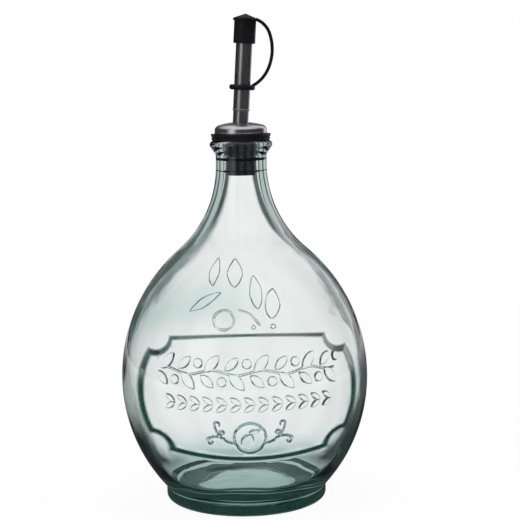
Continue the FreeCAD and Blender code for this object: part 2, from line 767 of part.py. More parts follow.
parts = [make_bottle(), make_stopper(), make_collar(), make_spout(), make_cap()]
doc.recompute()
faults = [item.Name for item in doc.Objects if {"Invalid", "Error"} & set(item.State)]
faults += [part.Label for part in parts if part.Shape.isNull() or not part.Shape.isValid()
           or len(part.Shape.Solids) != 1]
if faults:
    raise RuntimeError("these did not build: " + ", ".join(faults))

os.makedirs("parts", exist_ok=True)
for part in parts:
    part.Shape.exportStep(f"parts/{part.Label}.step")
    print(part.Label, round(part.Shape.Volume), "cubic millimetres")
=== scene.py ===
"""Oil cruet: a round pale green glass bottle, a finned stopper and a capped metal spout."""
import bmesh
import bpy
import math
from bpy.props import FloatProperty, FloatVectorProperty, IntProperty, PointerProperty
from bpy.types import Operator, Panel, PropertyGroup
from mathutils import Matrix, Vector, noise


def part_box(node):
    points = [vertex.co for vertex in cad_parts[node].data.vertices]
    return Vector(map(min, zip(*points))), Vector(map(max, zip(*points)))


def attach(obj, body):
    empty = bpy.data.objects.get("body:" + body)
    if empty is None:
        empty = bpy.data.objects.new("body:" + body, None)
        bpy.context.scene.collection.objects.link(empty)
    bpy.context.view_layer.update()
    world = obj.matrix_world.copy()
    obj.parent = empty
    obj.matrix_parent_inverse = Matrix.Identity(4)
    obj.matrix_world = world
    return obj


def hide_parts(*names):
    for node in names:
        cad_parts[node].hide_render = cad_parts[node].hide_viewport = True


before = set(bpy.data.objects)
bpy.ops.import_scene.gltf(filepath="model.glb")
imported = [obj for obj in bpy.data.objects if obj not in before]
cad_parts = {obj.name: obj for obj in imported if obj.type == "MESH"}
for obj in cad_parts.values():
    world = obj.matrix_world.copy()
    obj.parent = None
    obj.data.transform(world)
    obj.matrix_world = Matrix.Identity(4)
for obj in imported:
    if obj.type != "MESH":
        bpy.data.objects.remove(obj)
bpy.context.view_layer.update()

bl_info = {
    "name": "Oil cruet",
    "version": (1, 0, 0),
    "blender": (4, 5, 0),
    "location": "View3D > Sidebar > Cruet",
    "description": "Builds a glass oil cruet with its stopper, spout and cap",
    "category": "Add Mesh",
}

TAU = math.tau
DOWN, UP = -math.pi / 2, math.pi / 2    # turns from level
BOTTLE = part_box("bottle")
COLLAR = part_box("collar")
SMALLEST_TURN = math.radians(12)    # a small arc gets a point at least this often
SAME_PLACE = 1e-6
HALVINGS = 11                       # how often the search for the step's height halves
STEP_REACH = 3                      # the panel's step is worked out this many slopes away
STEP_WIDER = 0.8                    # the step is this much wider at the panel's bottom
STEP_NARROWER = 0.35                # and this much narrower at its top
EDGE_SHADE_TOP_PALER = 0.1                     # the painted dark line along the step is this much paler at the panel's top
FINER = ((0.0042, 1), (0.0012, 2))  # near the relief faces are cut: room round it, cuts
GROUND_SHARE = 0.9                  # the ground ring reaches this far up the hollow
COLLAR_ROUND = 0.00025              # round of the collar's edges
STRAP_ROUND = 0.00035               # round of the strap's edges
FLOOR_GAP = 0.0002                  # keeps the floor just under the foot

# Shares of the painted shade towards the foot
FOOT_SHADE_SIDES = 0.65                   # of the foot's painted shade at its two sides
FOOT_SHADE_FRONT = 0.35                   # what the front has more than that, and the back less
STREAKS = 0.25                      # how far the tone wanders

# Painted shade on the left and back of the shoulder
LEFT_SHADE_TOWARDS = (-0.75, 0.66)       # its direction from the axis: left and back
LEFT_SHADE_EDGE = (0.2, 0.7)             # where it starts, and how wide its soft edge is
LEFT_SHADE_RISE = 0.03                   # height over which it starts
LEFT_SHADE_FADE = 0.041                  # height over which it clears


# ---------------------------------------------------------------- sizes and colours

def length(label, millimetres, about):
    """A length that the user can change, given in millimetres and kept in metres."""
    return FloatProperty(name=label, description=about, default=millimetres / 1000, min=0.0,
                         precision=5, unit="LENGTH")


def angle(label, degrees, about):
    return FloatProperty(name=label, description=about, default=math.radians(degrees),
                         subtype="ANGLE")


def share(label, value, about):
    return FloatProperty(name=label, description=about, default=value, min=0.0, max=1.0,
                         subtype="FACTOR")


def colour(label, value, about):
    return FloatVectorProperty(name=label, description=about, default=value, size=3,
                               min=0.0, max=1.0, subtype="COLOR")


class BottleSizes(PropertyGroup):
    belly_radius: length("Belly radius", BOTTLE[1].x * 1000, "Widest radius of the body")
    belly_height: length("Belly height", 67.5, "Height of the widest circle")
    foot_radius: length("Foot radius", 44.2, "Radius of the thick foot")
    foot_height: length("Foot height", 7.46, "Where the foot would meet the side")
    foot_fillet: length("Foot fillet", 2.4, "Hollow round between the foot and the side")
    foot_round: length("Foot round", 2.5, "Round at the bottom edge of the foot")
    rest_width: length("Rest ring", 6.0, "Width of the flat ring that touches the table")
    hollow_rise: length("Hollow rise", 2.2, "Depth of the hollow under the foot")
    hollow_slope: length("Hollow slope", 9.0, "Width of the slope into that hollow")
    shoulder_arc: length("Shoulder arc", 93.0, "Radius of the side above the belly")
    neck_radius: length("Neck radius", 13.8, "Outside radius of the neck")
    neck_start: length("Neck start", 184.0, "Height where the neck becomes straight")
    mouth_height: length("Mouth height", BOTTLE[1].z * 1000, "Height of the lip's flat top")
    lip_overhang: length("Lip overhang", 3.2, "How far the lip ring stands out")
    lip_round: length("Lip round", 2.2, "Radius of the lip ring's edge")
    lip_length: length("Lip length", 7.6, "From the mouth to where the ring joins the neck")
    body_wall: length("Body wall", 3.9, "Thickness of the glass in the body")
    bore_radius: length("Bore radius", 9.2, "Inside radius of the neck")
    floor_thickness: length("Floor", 9.0, "Thickness of the glass floor")
    floor_round: length("Floor round", 26.0, "Inside corner between floor and side")
    mouth_round: length("Mouth round", 0.9, "Round of the bore's upper edge")
    waviness: length("Waviness", 0.34, "How far the inside of the wall wanders")
    wave_size: length("Wave size", 24.0, "Distance from one wave of the wall to the next")
    row: length("Row", 2.7, "Height of one row of faces on the body")
    columns: IntProperty(name="Columns", description="Faces round the bottle", default=180)


class PanelSizes(PropertyGroup):
    relief: length("Relief", 2.2, "How far the panel stands out from the body")
    slope: length("Slope", 2.6, "Width of the step round the panel, seen from the front")
    # The dark edge along the panel's step is painted shade in the glass's tint.
    side_shade_spread: share("Side line", 1.0, "How much wider the dark edge is at the two sides")
    height: length("Height", 69.5, "Middle of the panel above the table")
    half_width: length("Half width", 55.9, "At mid height, where the sides bow out most")
    half_height: length("Half height", 32.0, "In the middle, where the edges bow out most")
    tip_x: length("Tip across", 50.7, "Where a side meets a notch")
    tip_z: length("Tip up", 20.7, "Where a side meets a notch")
    end_x: length("End across", 39.4, "Where the top meets a notch")
    end_z: length("End up", 29.1, "Where the top meets a notch")
    notch: length("Notch radius", 10.0, "Radius of the four hollow corners")
    line: length("Ornament line", 1.0, "Width of the raised lines")
    ornament: length("Ornament relief", 0.75, "How far the ornament stands out")
    edge: length("Ornament edge", 0.55, "Width of the slope round the ornament")
    # Painted shade in the plain glass round the panel; inside the panel the glass is clear
    painted_body_shade: share("Body tone", 0.05, "How dark the plain glass round the panel is")
    # Painted shade in the foot, darker at the front and lighter at the back
    foot_shade: share("Foot tone", 0.31, "How dark the glass of the foot is")
    foot_shade_height: length("Tone height", 30.0, "Height over which the glass clears")
    # Painted shade on the left and back of the shoulder; the glass there is no thicker than
    # elsewhere
    left_shade: share("Thick tone", 0.23, "How dark a thick place on the shoulder's back is")
    left_shade_low: length("Thick from", 72.0, "Where that place starts")
    left_shade_high: length("Thick to", 94.0, "Where that place starts to clear")
    # Painted shade along the ornament's edges
    ornament_edge_shade: share("Ornament tone", 0.5, "How dark the edges of the ornament are")


class StopperSizes(PropertyGroup):
    flange_radius: length("Flange radius", 16.3, "Outside radius of the flange")
    flange_height: length("Flange height", 3.45, "From the lip up to the collar")
    flange_taper: length("Flange taper", 0.7, "The flange is this much smaller below")
    groove: length("Groove", 0.45, "Depth of the groove round the flange")
    groove_width: length("Groove width", 0.7, "Width of that groove")
    plug_radius: length("Plug radius", 9.05, "Radius of the full part in the bore")
    plug_length: length("Plug length", 5.6, "Length of the full part")
    plug_taper: length("Plug taper", 1.2, "Height over which it draws in")
    core_radius: length("Core radius", 7.9, "Radius between the fins")
    reach: length("Reach", 18.7, "From the lip down to the stopper's end")
    upper_fin: length("Upper fin", 10.0, "Middle of the upper fin below the lip")
    upper_fin_height: length("Upper fin height", 1.4, "Thickness of the upper fin")
    lower_fin: length("Lower fin", 16.6, "Middle of the lower fin below the lip")
    lower_fin_height: length("Lower fin height", 0.9, "Thickness of the lower fin")
    fin_taper: length("Fin taper", 0.5, "A fin is this much thicker at its root")
    fin_bite: length("Fin bite", 0.12, "How far a fin presses into the glass wall")
    edge_round: length("Edge round", 0.1, "Round of the stopper's edges")


class SpoutSizes(PropertyGroup):
    collar_radius: length("Collar radius", COLLAR[1].x * 1000, "Radius of the collar")
    collar_side: length("Collar side", 2.75, "Height of the collar's upright side")
    collar_rise: length("Collar rise", 3.7, "Rise of its domed top")
    dome_radius: length("Dome radius", 45.0, "Radius of the flat middle of the dome")
    dome_edge: length("Dome edge", 4.0, "Radius of the rounded shoulder of the dome")
    radius: length("Tube radius", 4.4, "Outside radius of the spout")
    wall: length("Tube wall", 0.9, "Thickness of the tube")
    step: length("Tube step", 0.2, "The tube is this much slimmer below the bead")
    clearance: length("Clearance", 0.05, "Gap between the tube and its hole")
    lean: angle("Lean", 3.6, "The spout leans this far from the bottle's axis")
    length: length("Spout length", 54.2, "Length above the collar")
    depth: length("Spout depth", 28.0, "Length below the collar's top")
    bead_height: length("Bead height", 6.6, "Height of the bead above the collar")
    bead_width: length("Bead width", 1.3, "Height of the bead itself")
    bead_proud: length("Bead proud", 0.22, "How far the bead stands out")


class CapSizes(PropertyGroup):
    clearance: length("Clearance", 0.1, "Gap between the spout and the cap")
    wall: length("Wall", 1.4, "Thickness of the cap's wall")
    depth: length("Depth", 12.2, "Length of the socket over the spout")
    edge_round: length("Edge round", 0.6, "Round of the cap's lower edge")
    brim_overhang: length("Brim", 0.7, "How far the brim stands out")
    brim_height: length("Brim height", 1.5, "Height of the brim")
    brim_round: length("Brim round", 0.5, "Round of the brim's edge")
    brim_overlap: length("Brim overlap", 0.1, "The brim starts this far below the spout's end")
    cone: length("Cone", 2.3, "Height of the low cone on top")
    strap_thickness: length("Strap thickness", 1.7, "Thickness of the strap")
    strap_width: length("Strap width", 2.8, "Width of the strap")
    strap_stand: length("Strap stand", 15.2, "From the spout to the strap at its widest")
    strap_height: length("Strap height", 38.4, "Height of that place above the collar")
    strap_arc: length("Long arc", 26.0, "Radius of the strap's long arc")
    strap_upper_arc: length("Upper arc", 12.0, "Radius of its arc at the cap")
    strap_lower_arc: length("Lower arc", 19.0, "Radius of its arc at the ring")
    upper_turn: angle("Upper turn", 22.0, "Turn of the long arc above its widest point")
    lower_turn: angle("Lower turn", 20.0, "Turn of the long arc below its widest point")
    upper_end: angle("Upper end", 74.0, "Where the strap runs into the cap")
    lower_end: angle("Lower end", 60.0, "Where the strap runs into the ring")
    ring_clearance: length("Ring clearance", 0.15, "Gap between the spout and the ring")
    ring_wall: length("Ring wall", 2.4, "Width of the ring")
    ring_height: length("Ring height", 2.8, "Height of the ring")
    ring_place: length("Ring place", 18.7, "Middle of the ring above the collar")
    ring_bevel: length("Ring round", 1.2, "Round of the ring's edges")


class Finishes(PropertyGroup):
    glass: colour("Glass", (1.0, 1.0, 1.0), "Tint that each face of the glass adds")
    # Colour of the painted shade in the glass at middle strength
    glass_middle_shade: colour("Glass middle", (0.42, 0.62, 0.56), "Tint of its thick parts")
    # Near-black tint of the painted shade along the relief's steps
    glass_edge_shade: colour("Glass edge", (0.0, 0.005, 0.003), "Tint of the steps of the relief")
    glass_depth: colour("Glass depth", (0.10, 0.48, 0.40), "Colour seen through thick glass")
    glass_density: FloatProperty(name="Glass density", default=9.0, min=0.0,
                                 description="How fast thick glass takes on that colour")
    ground: colour("Ground ring", (0.24, 0.50, 0.43), "Dull glass of the ring under the foot")
    rubber: colour("Rubber", (0.007, 0.007, 0.008), "Black moulded rubber")
    collar: colour("Collar", (0.56, 0.56, 0.58), "Polished steel of the collar")
    # Painted shade: the same steel as the collar, made darker to stand in for the dark room it
    # reflects
    spout: colour("Spout", (0.36, 0.36, 0.37), "Dark steel of the spout")


class StageSizes(PropertyGroup):
    lens: FloatProperty(name="Lens", description="Focal length of the camera", default=99.66,
                        unit="CAMERA")
    distance: length("Distance", 780.0, "From the bottle's axis to the camera")
    eye: length("Eye height", 238.4, "Height of the camera above the table")
    turn: angle("Turn", -1.9, "The camera stands this far round from the panel's middle")
    pitch: angle("Pitch", 7.8, "How far down the camera looks")
    roll: angle("Roll", -0.934, "How far the camera tips sideways")
    shift: FloatProperty(name="Shift", description="Sideways shift of the lens",
                         default=0.0331)
    floor_radius: length("Floor radius", 900.0, "Radius of the pale floor")
    strip: angle("Strip light", -137.0, "Where the tall strip light stands, round from +Y")


# ---------------------------------------------------------------- outlines

def polar(centre, radius, turn):
    """The point of a circle at a turn from level."""
    return centre[0] + radius * math.cos(turn), centre[1] + radius * math.sin(turn)


def line(start, end, step):
    """Points along a straight line, about a step apart."""
    count = max(1, round(math.dist(start, end) / step))
    return [(start[0] + (end[0] - start[0]) * i / count,
             start[1] + (end[1] - start[1]) * i / count) for i in range(count + 1)]


def arc(centre, radius, first, last, step):
    """Points along an arc, from one turn to another."""
    turn = abs(last - first)
    count = max(1, math.ceil(turn * radius / step), math.ceil(turn / SMALLEST_TURN))
    return [polar(centre, radius, first + (last - first) * i / count)
            for i in range(count + 1)]


def chain(*parts):
    """One list of points from several, with no point twice in a row."""
    points = []
    for point in (p for part in parts for p in part):
        if not points or math.dist(points[-1], point) > SAME_PLACE:
            points.append(point)
    return points


def hollow_arc(edge, arc_centre, arc_radius, height_gap):
    """Radius of the hollow arc that runs from an upright line into a bulging arc."""
    across = edge - arc_centre
    return (across ** 2 + height_gap ** 2 - arc_radius ** 2) / (2 * (arc_radius - across))


class Wall:
    """The bottle's two surfaces, worked out from its sizes."""

    def __init__(self, b):
        self.b = b
        inset = b.belly_radius - b.foot_radius
        drop = b.belly_height - b.foot_height
        self.lower = (inset ** 2 + drop ** 2) / (2 * inset)
        self.upper = b.shoulder_arc
        self.lower_x = b.belly_radius - self.lower
        self.upper_x = b.belly_radius - self.upper

    def side_and_neck(self, wall, neck, start, step):
        """From the belly's lower arc up to the straight neck."""
        b, height = self.b, self.b.belly_height
        upper = self.upper - wall
        rise = b.neck_start - height
        hollow = hollow_arc(neck, self.upper_x, upper, rise)
        turn = math.atan2(rise, neck + hollow - self.upper_x)
        return chain(
            arc((self.lower_x, height), self.lower - wall, start, 0.0, step),
            arc((self.upper_x, height), upper, 0.0, turn, step),
            arc((neck + hollow, b.neck_start), hollow, math.pi + turn, math.pi, 0.8 * step))

    def outside(self):
        """From the middle of the underside round the foot and up to the mouth."""
        b, step = self.b, self.b.row
        rest = b.foot_radius - b.foot_round - b.rest_width
        flat = rest - b.hollow_slope
        fillet_x = b.foot_radius + b.foot_fillet
        fillet_drop = math.sqrt((self.lower + b.foot_fillet) ** 2
                                - (fillet_x - self.lower_x) ** 2)
        fillet = (fillet_x, b.belly_height - fillet_drop)
        fillet_end = math.atan2(fillet_drop, self.lower_x - fillet_x)
        lip_x = b.neck_radius + b.lip_overhang - b.lip_round
        lip = (lip_x, b.mouth_height - b.lip_round)
        neck_end = (b.neck_radius, b.mouth_height - b.lip_length)
        reach = math.dist(neck_end, lip)
        touch = (math.atan2(neck_end[1] - lip[1], neck_end[0] - lip[0])
                 + math.acos(b.lip_round / reach))
        return chain(
            line((0.0, b.hollow_rise), (flat, b.hollow_rise), 2.5 * step),
            line((flat, b.hollow_rise), (rest, 0.0), step),
            line((rest, 0.0), (rest + b.rest_width, 0.0), step),
            arc((rest + b.rest_width, b.foot_round), b.foot_round, DOWN, 0.0, step),
            line((b.foot_radius, b.foot_round), (b.foot_radius, fillet[1]), 0.5 * step),
            arc(fillet, b.foot_fillet, math.pi, fillet_end, step),
            self.side_and_neck(0.0, b.neck_radius, fillet_end - math.pi, step),
            line((b.neck_radius, b.neck_start), neck_end, 0.4 * step),
            [polar(lip, b.lip_round, touch)],
            arc(lip, b.lip_round, touch, UP, step))

    def inside(self):
        """From the mouth down the bore and round to the middle of the floor."""
        b, step = self.b, self.b.row
        lower = self.lower - b.body_wall
        drop = b.floor_thickness + b.floor_round - b.belly_height
        corner = (self.lower_x + math.sqrt((lower - b.floor_round) ** 2 - drop ** 2),
                  b.floor_thickness + b.floor_round)
        corner_end = math.atan2(drop, corner[0] - self.lower_x)
        edge = (b.bore_radius + b.mouth_round, b.mouth_height - b.mouth_round)
        upwards = chain(
            line((0.0, b.floor_thickness), (corner[0], b.floor_thickness), 2 * step),
            arc(corner, b.floor_round, DOWN, corner_end, step),
            self.side_and_neck(b.body_wall, b.bore_radius, corner_end, step),
            line((b.bore_radius, b.neck_start), (b.bore_radius, edge[1]), 0.6 * step),
            arc(edge, b.mouth_round, math.pi, UP, step))
        return upwards[::-1]

    def swollen(self, place, height):
        """The point of the body's plain outside nearest to a place, raised by a height."""
        across = math.hypot(place.x, place.y)
        centre, radius = ((self.lower_x, self.lower) if place.z < self.b.belly_height
                          else (self.upper_x, self.upper))
        out, up = across - centre, place.z - self.b.belly_height
        scale = (radius + height) / math.hypot(out, up)
        turn = (centre + out * scale) / across
        return Vector((place.x * turn, place.y * turn, self.b.belly_height + up * scale))

    def on_inside(self, place):
        """Is a place on the inside of the body, below the neck?"""
        b = self.b
        if not b.floor_thickness - SAME_PLACE < place.z < b.neck_start:
            return False
        return math.hypot(place.x, place.y) < self.middle_of_wall(place)

    def middle_of_wall(self, place):
        """How far the middle of the wall is from the axis, near a place."""
        outer = self.swollen(place, -self.b.body_wall / 2) if place.x or place.y else place
        return math.hypot(outer.x, outer.y)

    def wavy(self, place):
        """A place of the inside, moved as uneven glass is. The floor is the least even."""
        b = self.b
        calm = ramp((b.neck_start - place.z) / (2 * b.wave_size), 0.5)
        rough = 1.0 + 3.0 * (1.0 - ramp((place.z - b.floor_thickness) / b.wave_size, 0.5))
        sway = b.waviness * calm * noise.noise(place / b.wave_size)
        across = max(math.hypot(place.x, place.y), b.bore_radius)
        rise = b.waviness * (rough - 1.0) * noise.noise(1.3 * place.yzx / b.wave_size)
        return Vector((place.x * (1 + sway * rough / across), place.y * (1 + sway * rough / across),
                       place.z + rise))


# ---------------------------------------------------------------- relief of the panel

def ramp(share, soft=0.22):
    """From 0 to 1 in a straight slope with a small round at both ends."""
    if share <= 0.0 or share >= 1.0:
        return float(share > 0.0)
    steep = 1.0 / (1.0 - soft)
    if share < soft:
        return steep * share ** 2 / (2 * soft)
    if share > 1.0 - soft:
        return 1.0 - steep * (1.0 - share) ** 2 / (2 * soft)
    return steep * (share - soft / 2)


def crest(share):
    """1 in the middle of a slope, 0 at its two ends."""
    return max(0.0, 1.0 - (2 * share - 1.0) ** 4)


def bow(half, sagitta):
    """Radius of an arc, from half its chord and its height."""
    return (half ** 2 + sagitta ** 2) / (2 * sagitta)


class Cartouche:
    """The panel's outline: bowed edges and four hollow corners."""

    def __init__(self, p):
        self.p = p
        self.side = bow(p.tip_z, p.half_width - p.tip_x)
        self.top = bow(p.end_x, p.half_height - p.end_z)
        tip, end = Vector((p.tip_x, p.tip_z)), Vector((p.end_x, p.end_z))
        chord = tip - end
        out = Vector((-chord.y, chord.x)).normalized()
        self.corner = (tip + end) / 2 + out * math.sqrt(p.notch ** 2 - chord.length_squared / 4)

    def depth(self, place):
        """How far a place is inside the outline, as seen from the front."""
        x, z = abs(place.x), abs(place.z - self.p.height)
        return min(self.side - math.hypot(x - self.p.half_width + self.side, z),
                   self.top - math.hypot(x, z - self.p.half_height + self.top),
                   math.hypot(x - self.corner.x, z - self.corner.y) - self.p.notch)

    def step(self, wall, place):
        """Height of the panel's step at a place on the body, and how far up the step it is."""
        p = self.p
        low, high = 0.0, p.relief
        lean = (p.height - place.z) / p.half_height
        spread = STEP_WIDER if lean > 0.0 else STEP_NARROWER
        slope = p.slope * (1.0 + spread * lean * abs(lean))
        for _ in range(HALVINGS):
            middle = (low + high) / 2
            share = self.depth(wall.swollen(place, middle)) / slope + 0.5
            if p.relief * ramp(share) > middle:
                low = middle
            else:
                high = middle
        return (low + high) / 2, share


class Mark:
    """One raised form of the ornament, on the unrolled body."""

    def __init__(self, across, up, reach, inside, rise=1.0):
        self.across, self.up, self.reach, self.inside, self.rise = across, up, reach, inside, rise

    def depth(self, across, up, room):
        """How far a place is inside the form. It is exact only within some room of it."""
        across, up = across - self.across, up - self.up
        if max(abs(across), abs(up)) > self.reach + room:
            return -2 * room
        return self.inside(across, up)


def leaf(across, up, size, width, degrees, rise=1.0):
    """A pointed leaf. Its tilt is from level."""
    radius = bow(size / 2, width / 2)
    c, s = math.cos(math.radians(degrees)), math.sin(math.radians(degrees))

    def inside(x, z):
        along, side = x * c + z * s, abs(z * c - x * s)
        return radius - math.hypot(along, side + radius - width / 2)
    return Mark(across, up, size / 2, inside, rise)


def disc(across, up, radius, rise=1.0):
    """A round dot."""
    return Mark(across, up, radius, lambda x, z: radius - math.hypot(x, z), rise)


def ring(across, up, radius, width, rise=1.0):
    """A raised circle."""
    return Mark(across, up, radius + width,
                lambda x, z: width / 2 - abs(math.hypot(x, z) - radius), rise)


def stroke(across, up, radius, first, last, width, rise=1.0):
    """A raised line along an arc, with round ends. It runs between two angles in degrees."""
    middle, half = math.radians(first + last) / 2, math.radians(last - first) / 2
    ends = [polar((0.0, 0.0), radius, math.radians(turn)) for turn in (first, last)]

    def inside(x, z):
        turn = (math.atan2(z, x) - middle + math.pi) % TAU - math.pi
        if abs(turn) <= half:
            return width / 2 - abs(math.hypot(x, z) - radius)
        return width / 2 - min(math.dist((x, z), end) for end in ends)
    return Mark(across, up, radius + width, inside, rise)


def stem(up, half, sway, pitch, width):
    """A long stem that winds to and fro."""
    def inside(x, z):
        wave = abs(z - sway * math.sin(TAU * x / pitch))
        return min(width / 2 - wave, half - abs(x))
    return Mark(0.0, up, half, inside, 0.8)


def mirrored(marks):
    """The same marks on the other side of the middle."""
    return [Mark(-m.across, m.up, m.reach, lambda x, z, m=m: m.inside(-x, z), m.rise)
            for m in marks]


def garland(p):
    """An olive branch across the upper half of the panel."""
    pitch, up = 0.0126, 0.0829
    marks = [stem(up, 0.0475, 0.0012, 2 * pitch, 0.9 * p.line)]
    for index in range(-4, 4):
        across, side = (index + 0.5) * pitch, 1 - 2 * (index % 2)
        marks.append(leaf(across, up + 0.0043 * side, 0.0108, 0.0050, 48 * side))
        marks.append(leaf(across - 0.0024, up - 0.0042 * side, 0.0088, 0.0042, -42 * side))
        marks.append(disc(across + 0.0052, up - 0.0044 * side, 0.0023))
    return marks


def chevrons():
    """A band of small paired leaves under the branch."""
    marks = []
    for index in range(-6, 7):
        for side in (-1, 1):
            marks.append(leaf(index * 0.0069, 0.0671 + 0.0018 * side, 0.0064, 0.0026,
                              -32 * side, 0.8))
    return marks


def scrolls(p):
    """A plain ring with an olive and a leaf in it, between two scrolled stems."""
    up, thin = 0.0496, 0.8 * p.line
    middle = [ring(0.0, up, 0.0080, thin), leaf(-0.0014, up - 0.0014, 0.0084, 0.0058, 58, 0.8),
              leaf(0.0022, up + 0.0036, 0.0056, 0.0022, 10, 0.8)]
    side = [
        stroke(0.0073, up + 0.0079, 0.0106, -88, -6, thin),
        stroke(0.0166, up + 0.0073, 0.0013, -30, 200, 0.8 * thin),
        stroke(0.0173, up - 0.0072, 0.0080, 52, 122, thin),
        stroke(0.0206, up - 0.0020, 0.0012, -170, 60, 0.8 * thin),
        stroke(0.0143, up + 0.0028, 0.0011, -80, 190, 0.8 * thin),
    ]
    return middle + side + mirrored(side)


def sprig(p):
    """A spray of leaves and olives on the back of the shoulder."""
    leaves = ((-0.0238, 0.1000, 0.0225, 0.0060, 24), (-0.0208, 0.1193, 0.0195, 0.0080, 93),
              (-0.0045, 0.1177, 0.0205, 0.0118, 88), (0.0114, 0.1052, 0.0220, 0.0092, 94),
              (0.0222, 0.0980, 0.0190, 0.0092, 80))
    marks = [leaf(*place, 0.8) for place in leaves]
    return marks + [
        ring(-0.0115, 0.0880, 0.0062, p.line, 0.7), disc(0.0090, 0.0822, 0.0014),
        disc(0.0212, 0.0832, 0.0016), stroke(-0.0040, 0.0740, 0.0200, 30, 84, p.line, 0.7)]


class Relief:
    """Height of everything raised on the body's outside."""

    def __init__(self, bottle, panel):
        self.wall, self.panel, self.bottle = Wall(bottle), panel, bottle
        self.cartouche = Cartouche(panel)
        self.front = garland(panel) + chevrons() + scrolls(panel)
        self.back = sprig(panel)

    def unrolled(self, place):
        """Across and up on the unrolled body, seen from the front, and the marks there."""
        behind = place.y > 0.0
        turn = math.atan2(place.x, abs(place.y))
        return turn * self.bottle.belly_radius, place.z, self.back if behind else self.front

    def ornament(self, place):
        """Height of the ornament at a place, and how much painted shade its edge has there."""
        across, up, marks = self.unrolled(place)
        height = dark = 0.0
        for mark in marks:
            inside = mark.depth(across, up, self.panel.edge)
            if inside > -self.panel.edge:
                share = inside / self.panel.edge + 0.5
                raised = self.panel.ornament * mark.rise * ramp(share, 0.5)
                if raised > height:
                    height, dark = raised, mark.rise * crest(share)
        return height, dark

    def painted_body_shade(self, place):
        """Painted shade in the plain glass: some all over, more towards the foot and at the front,
        and on the left and back of the shoulder.
        """
        p, b = self.panel, self.bottle
        low = 1.0 - ramp((place.z - b.foot_height) / p.foot_shade_height, 0.5)
        low *= FOOT_SHADE_SIDES - FOOT_SHADE_FRONT * place.y / b.belly_radius
        streak = Vector((place.x, place.y, 3 * place.z)) / b.wave_size
        low *= 1.0 + STREAKS * noise.noise(streak)
        out = max(math.hypot(place.x, place.y), SAME_PLACE)
        # painted shade on the left and back of the shoulder
        back_left = (LEFT_SHADE_TOWARDS[1] * place.y + LEFT_SHADE_TOWARDS[0] * place.x) / out
        thick = ramp((back_left - LEFT_SHADE_EDGE[0]) / LEFT_SHADE_EDGE[1], 0.5)
        thick *= ramp((place.z - p.left_shade_low) / LEFT_SHADE_RISE, 0.5)
        thick *= 1.0 - ramp((place.z - p.left_shade_high) / LEFT_SHADE_FADE, 0.5)
        return p.painted_body_shade + (p.foot_shade - p.painted_body_shade) * low + p.left_shade * thick

    def raised(self, place):
        """Where a place of the plain body comes to lie, and how much painted shade its glass has
        there.
        """
        p, step, dark, tone = self.panel, 0.0, 0.0, self.painted_body_shade(place)
        if place.y < 0.0:
            depth = self.cartouche.depth(place)
            if depth > STEP_REACH * p.slope:
                step, tone = p.relief, 0.0
            elif depth > -STEP_REACH * p.slope:
                step, share = self.cartouche.step(self.wall, place)
                # Painted shade: a dark line along the step, wider at the sides and paler at the
                # top; inside the panel the glass is left clear.
                wider = 1.0 + p.side_shade_spread * (abs(place.x) / p.half_width) ** 3
                dark = crest(0.5 + (share - 0.5) / wider)
                dark *= 1.0 - EDGE_SHADE_TOP_PALER * ramp((place.z - p.height) / p.half_height)
                tone *= 1.0 - ramp(share)
        # The ornament's edges get painted shade as well
        height, edge = self.ornament(place)
        tone = max(tone, dark, p.ornament_edge_shade * edge)
        return self.wall.swollen(place, step + height), tone

    def on_outside(self, place):
        """Is a place on the outside of the body, between the foot and the shoulder?"""
        body = self.bottle
        if not body.foot_height + body.row < place.z < 2 * body.belly_height:
            return False
        nearest = self.wall.swollen(place, 0.0)
        return (place - nearest).length < body.body_wall / 2

    def is_near(self, place, room):
        """Is a place on the outside within some distance of a raised edge?"""
        if not self.on_outside(place):
            return False
        if place.y < 0.0 and abs(self.cartouche.depth(place)) < 0.5 * self.panel.slope + room:
            return True
        across, up, marks = self.unrolled(place)
        return any(mark.depth(across, up, room) > -room for mark in marks)


# ---------------------------------------------------------------- mesh helpers

def spun(points, steps, closed=False):
    """An outline turned round the Z axis into a closed skin."""
    bm = bmesh.new()
    verts = [bm.verts.new((across, 0.0, up)) for across, up in points]
    pairs = list(zip(verts, verts[1:])) + ([(verts[-1], verts[0])] if closed else [])
    edges = [bm.edges.new(pair) for pair in pairs]
    bmesh.ops.spin(bm, geom=verts + edges, cent=(0, 0, 0), axis=(0, 0, 1), angle=TAU,
                   steps=steps, use_merge=True)
    bmesh.ops.remove_doubles(bm, verts=bm.verts, dist=SAME_PLACE)
    bmesh.ops.recalc_face_normals(bm, faces=bm.faces)
    return bm


def piece(name, bm, sharp=math.radians(38)):
    """A mesh object of a bmesh, smooth but for its sharp edges."""
    for face in bm.faces:
        face.smooth = True
    for edge in bm.edges:
        edge.smooth = edge.calc_face_angle(0.0) < sharp
    mesh = bpy.data.meshes.new(name)
    bm.to_mesh(mesh)
    bm.free()
    obj = bpy.data.objects.new(name, mesh)
    bpy.context.scene.collection.objects.link(obj)
    return obj


def dressed(obj, node, slot, *materials):
    """Gives a finished piece its materials and its body, and hides the node it stands for."""
    for material in materials:
        obj.data.materials.append(material)
    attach(obj, "root")
    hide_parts(node)
    return obj


def combined(obj, others, operation):
    """Joins other closed pieces to one, or cuts them out of it, and deletes them."""
    for other in others:
        modifier = obj.modifiers.new(operation.lower(), "BOOLEAN")
        modifier.operation, modifier.object, modifier.solver = operation, other, "EXACT"
    bpy.context.view_layer.update()
    solid = obj.evaluated_get(bpy.context.evaluated_depsgraph_get())
    mesh = bpy.data.meshes.new_from_object(solid)
    mesh.name = obj.name
    obj.modifiers.clear()
    obj.data = mesh
    for other in others:
        bpy.data.objects.remove(other)
    return obj


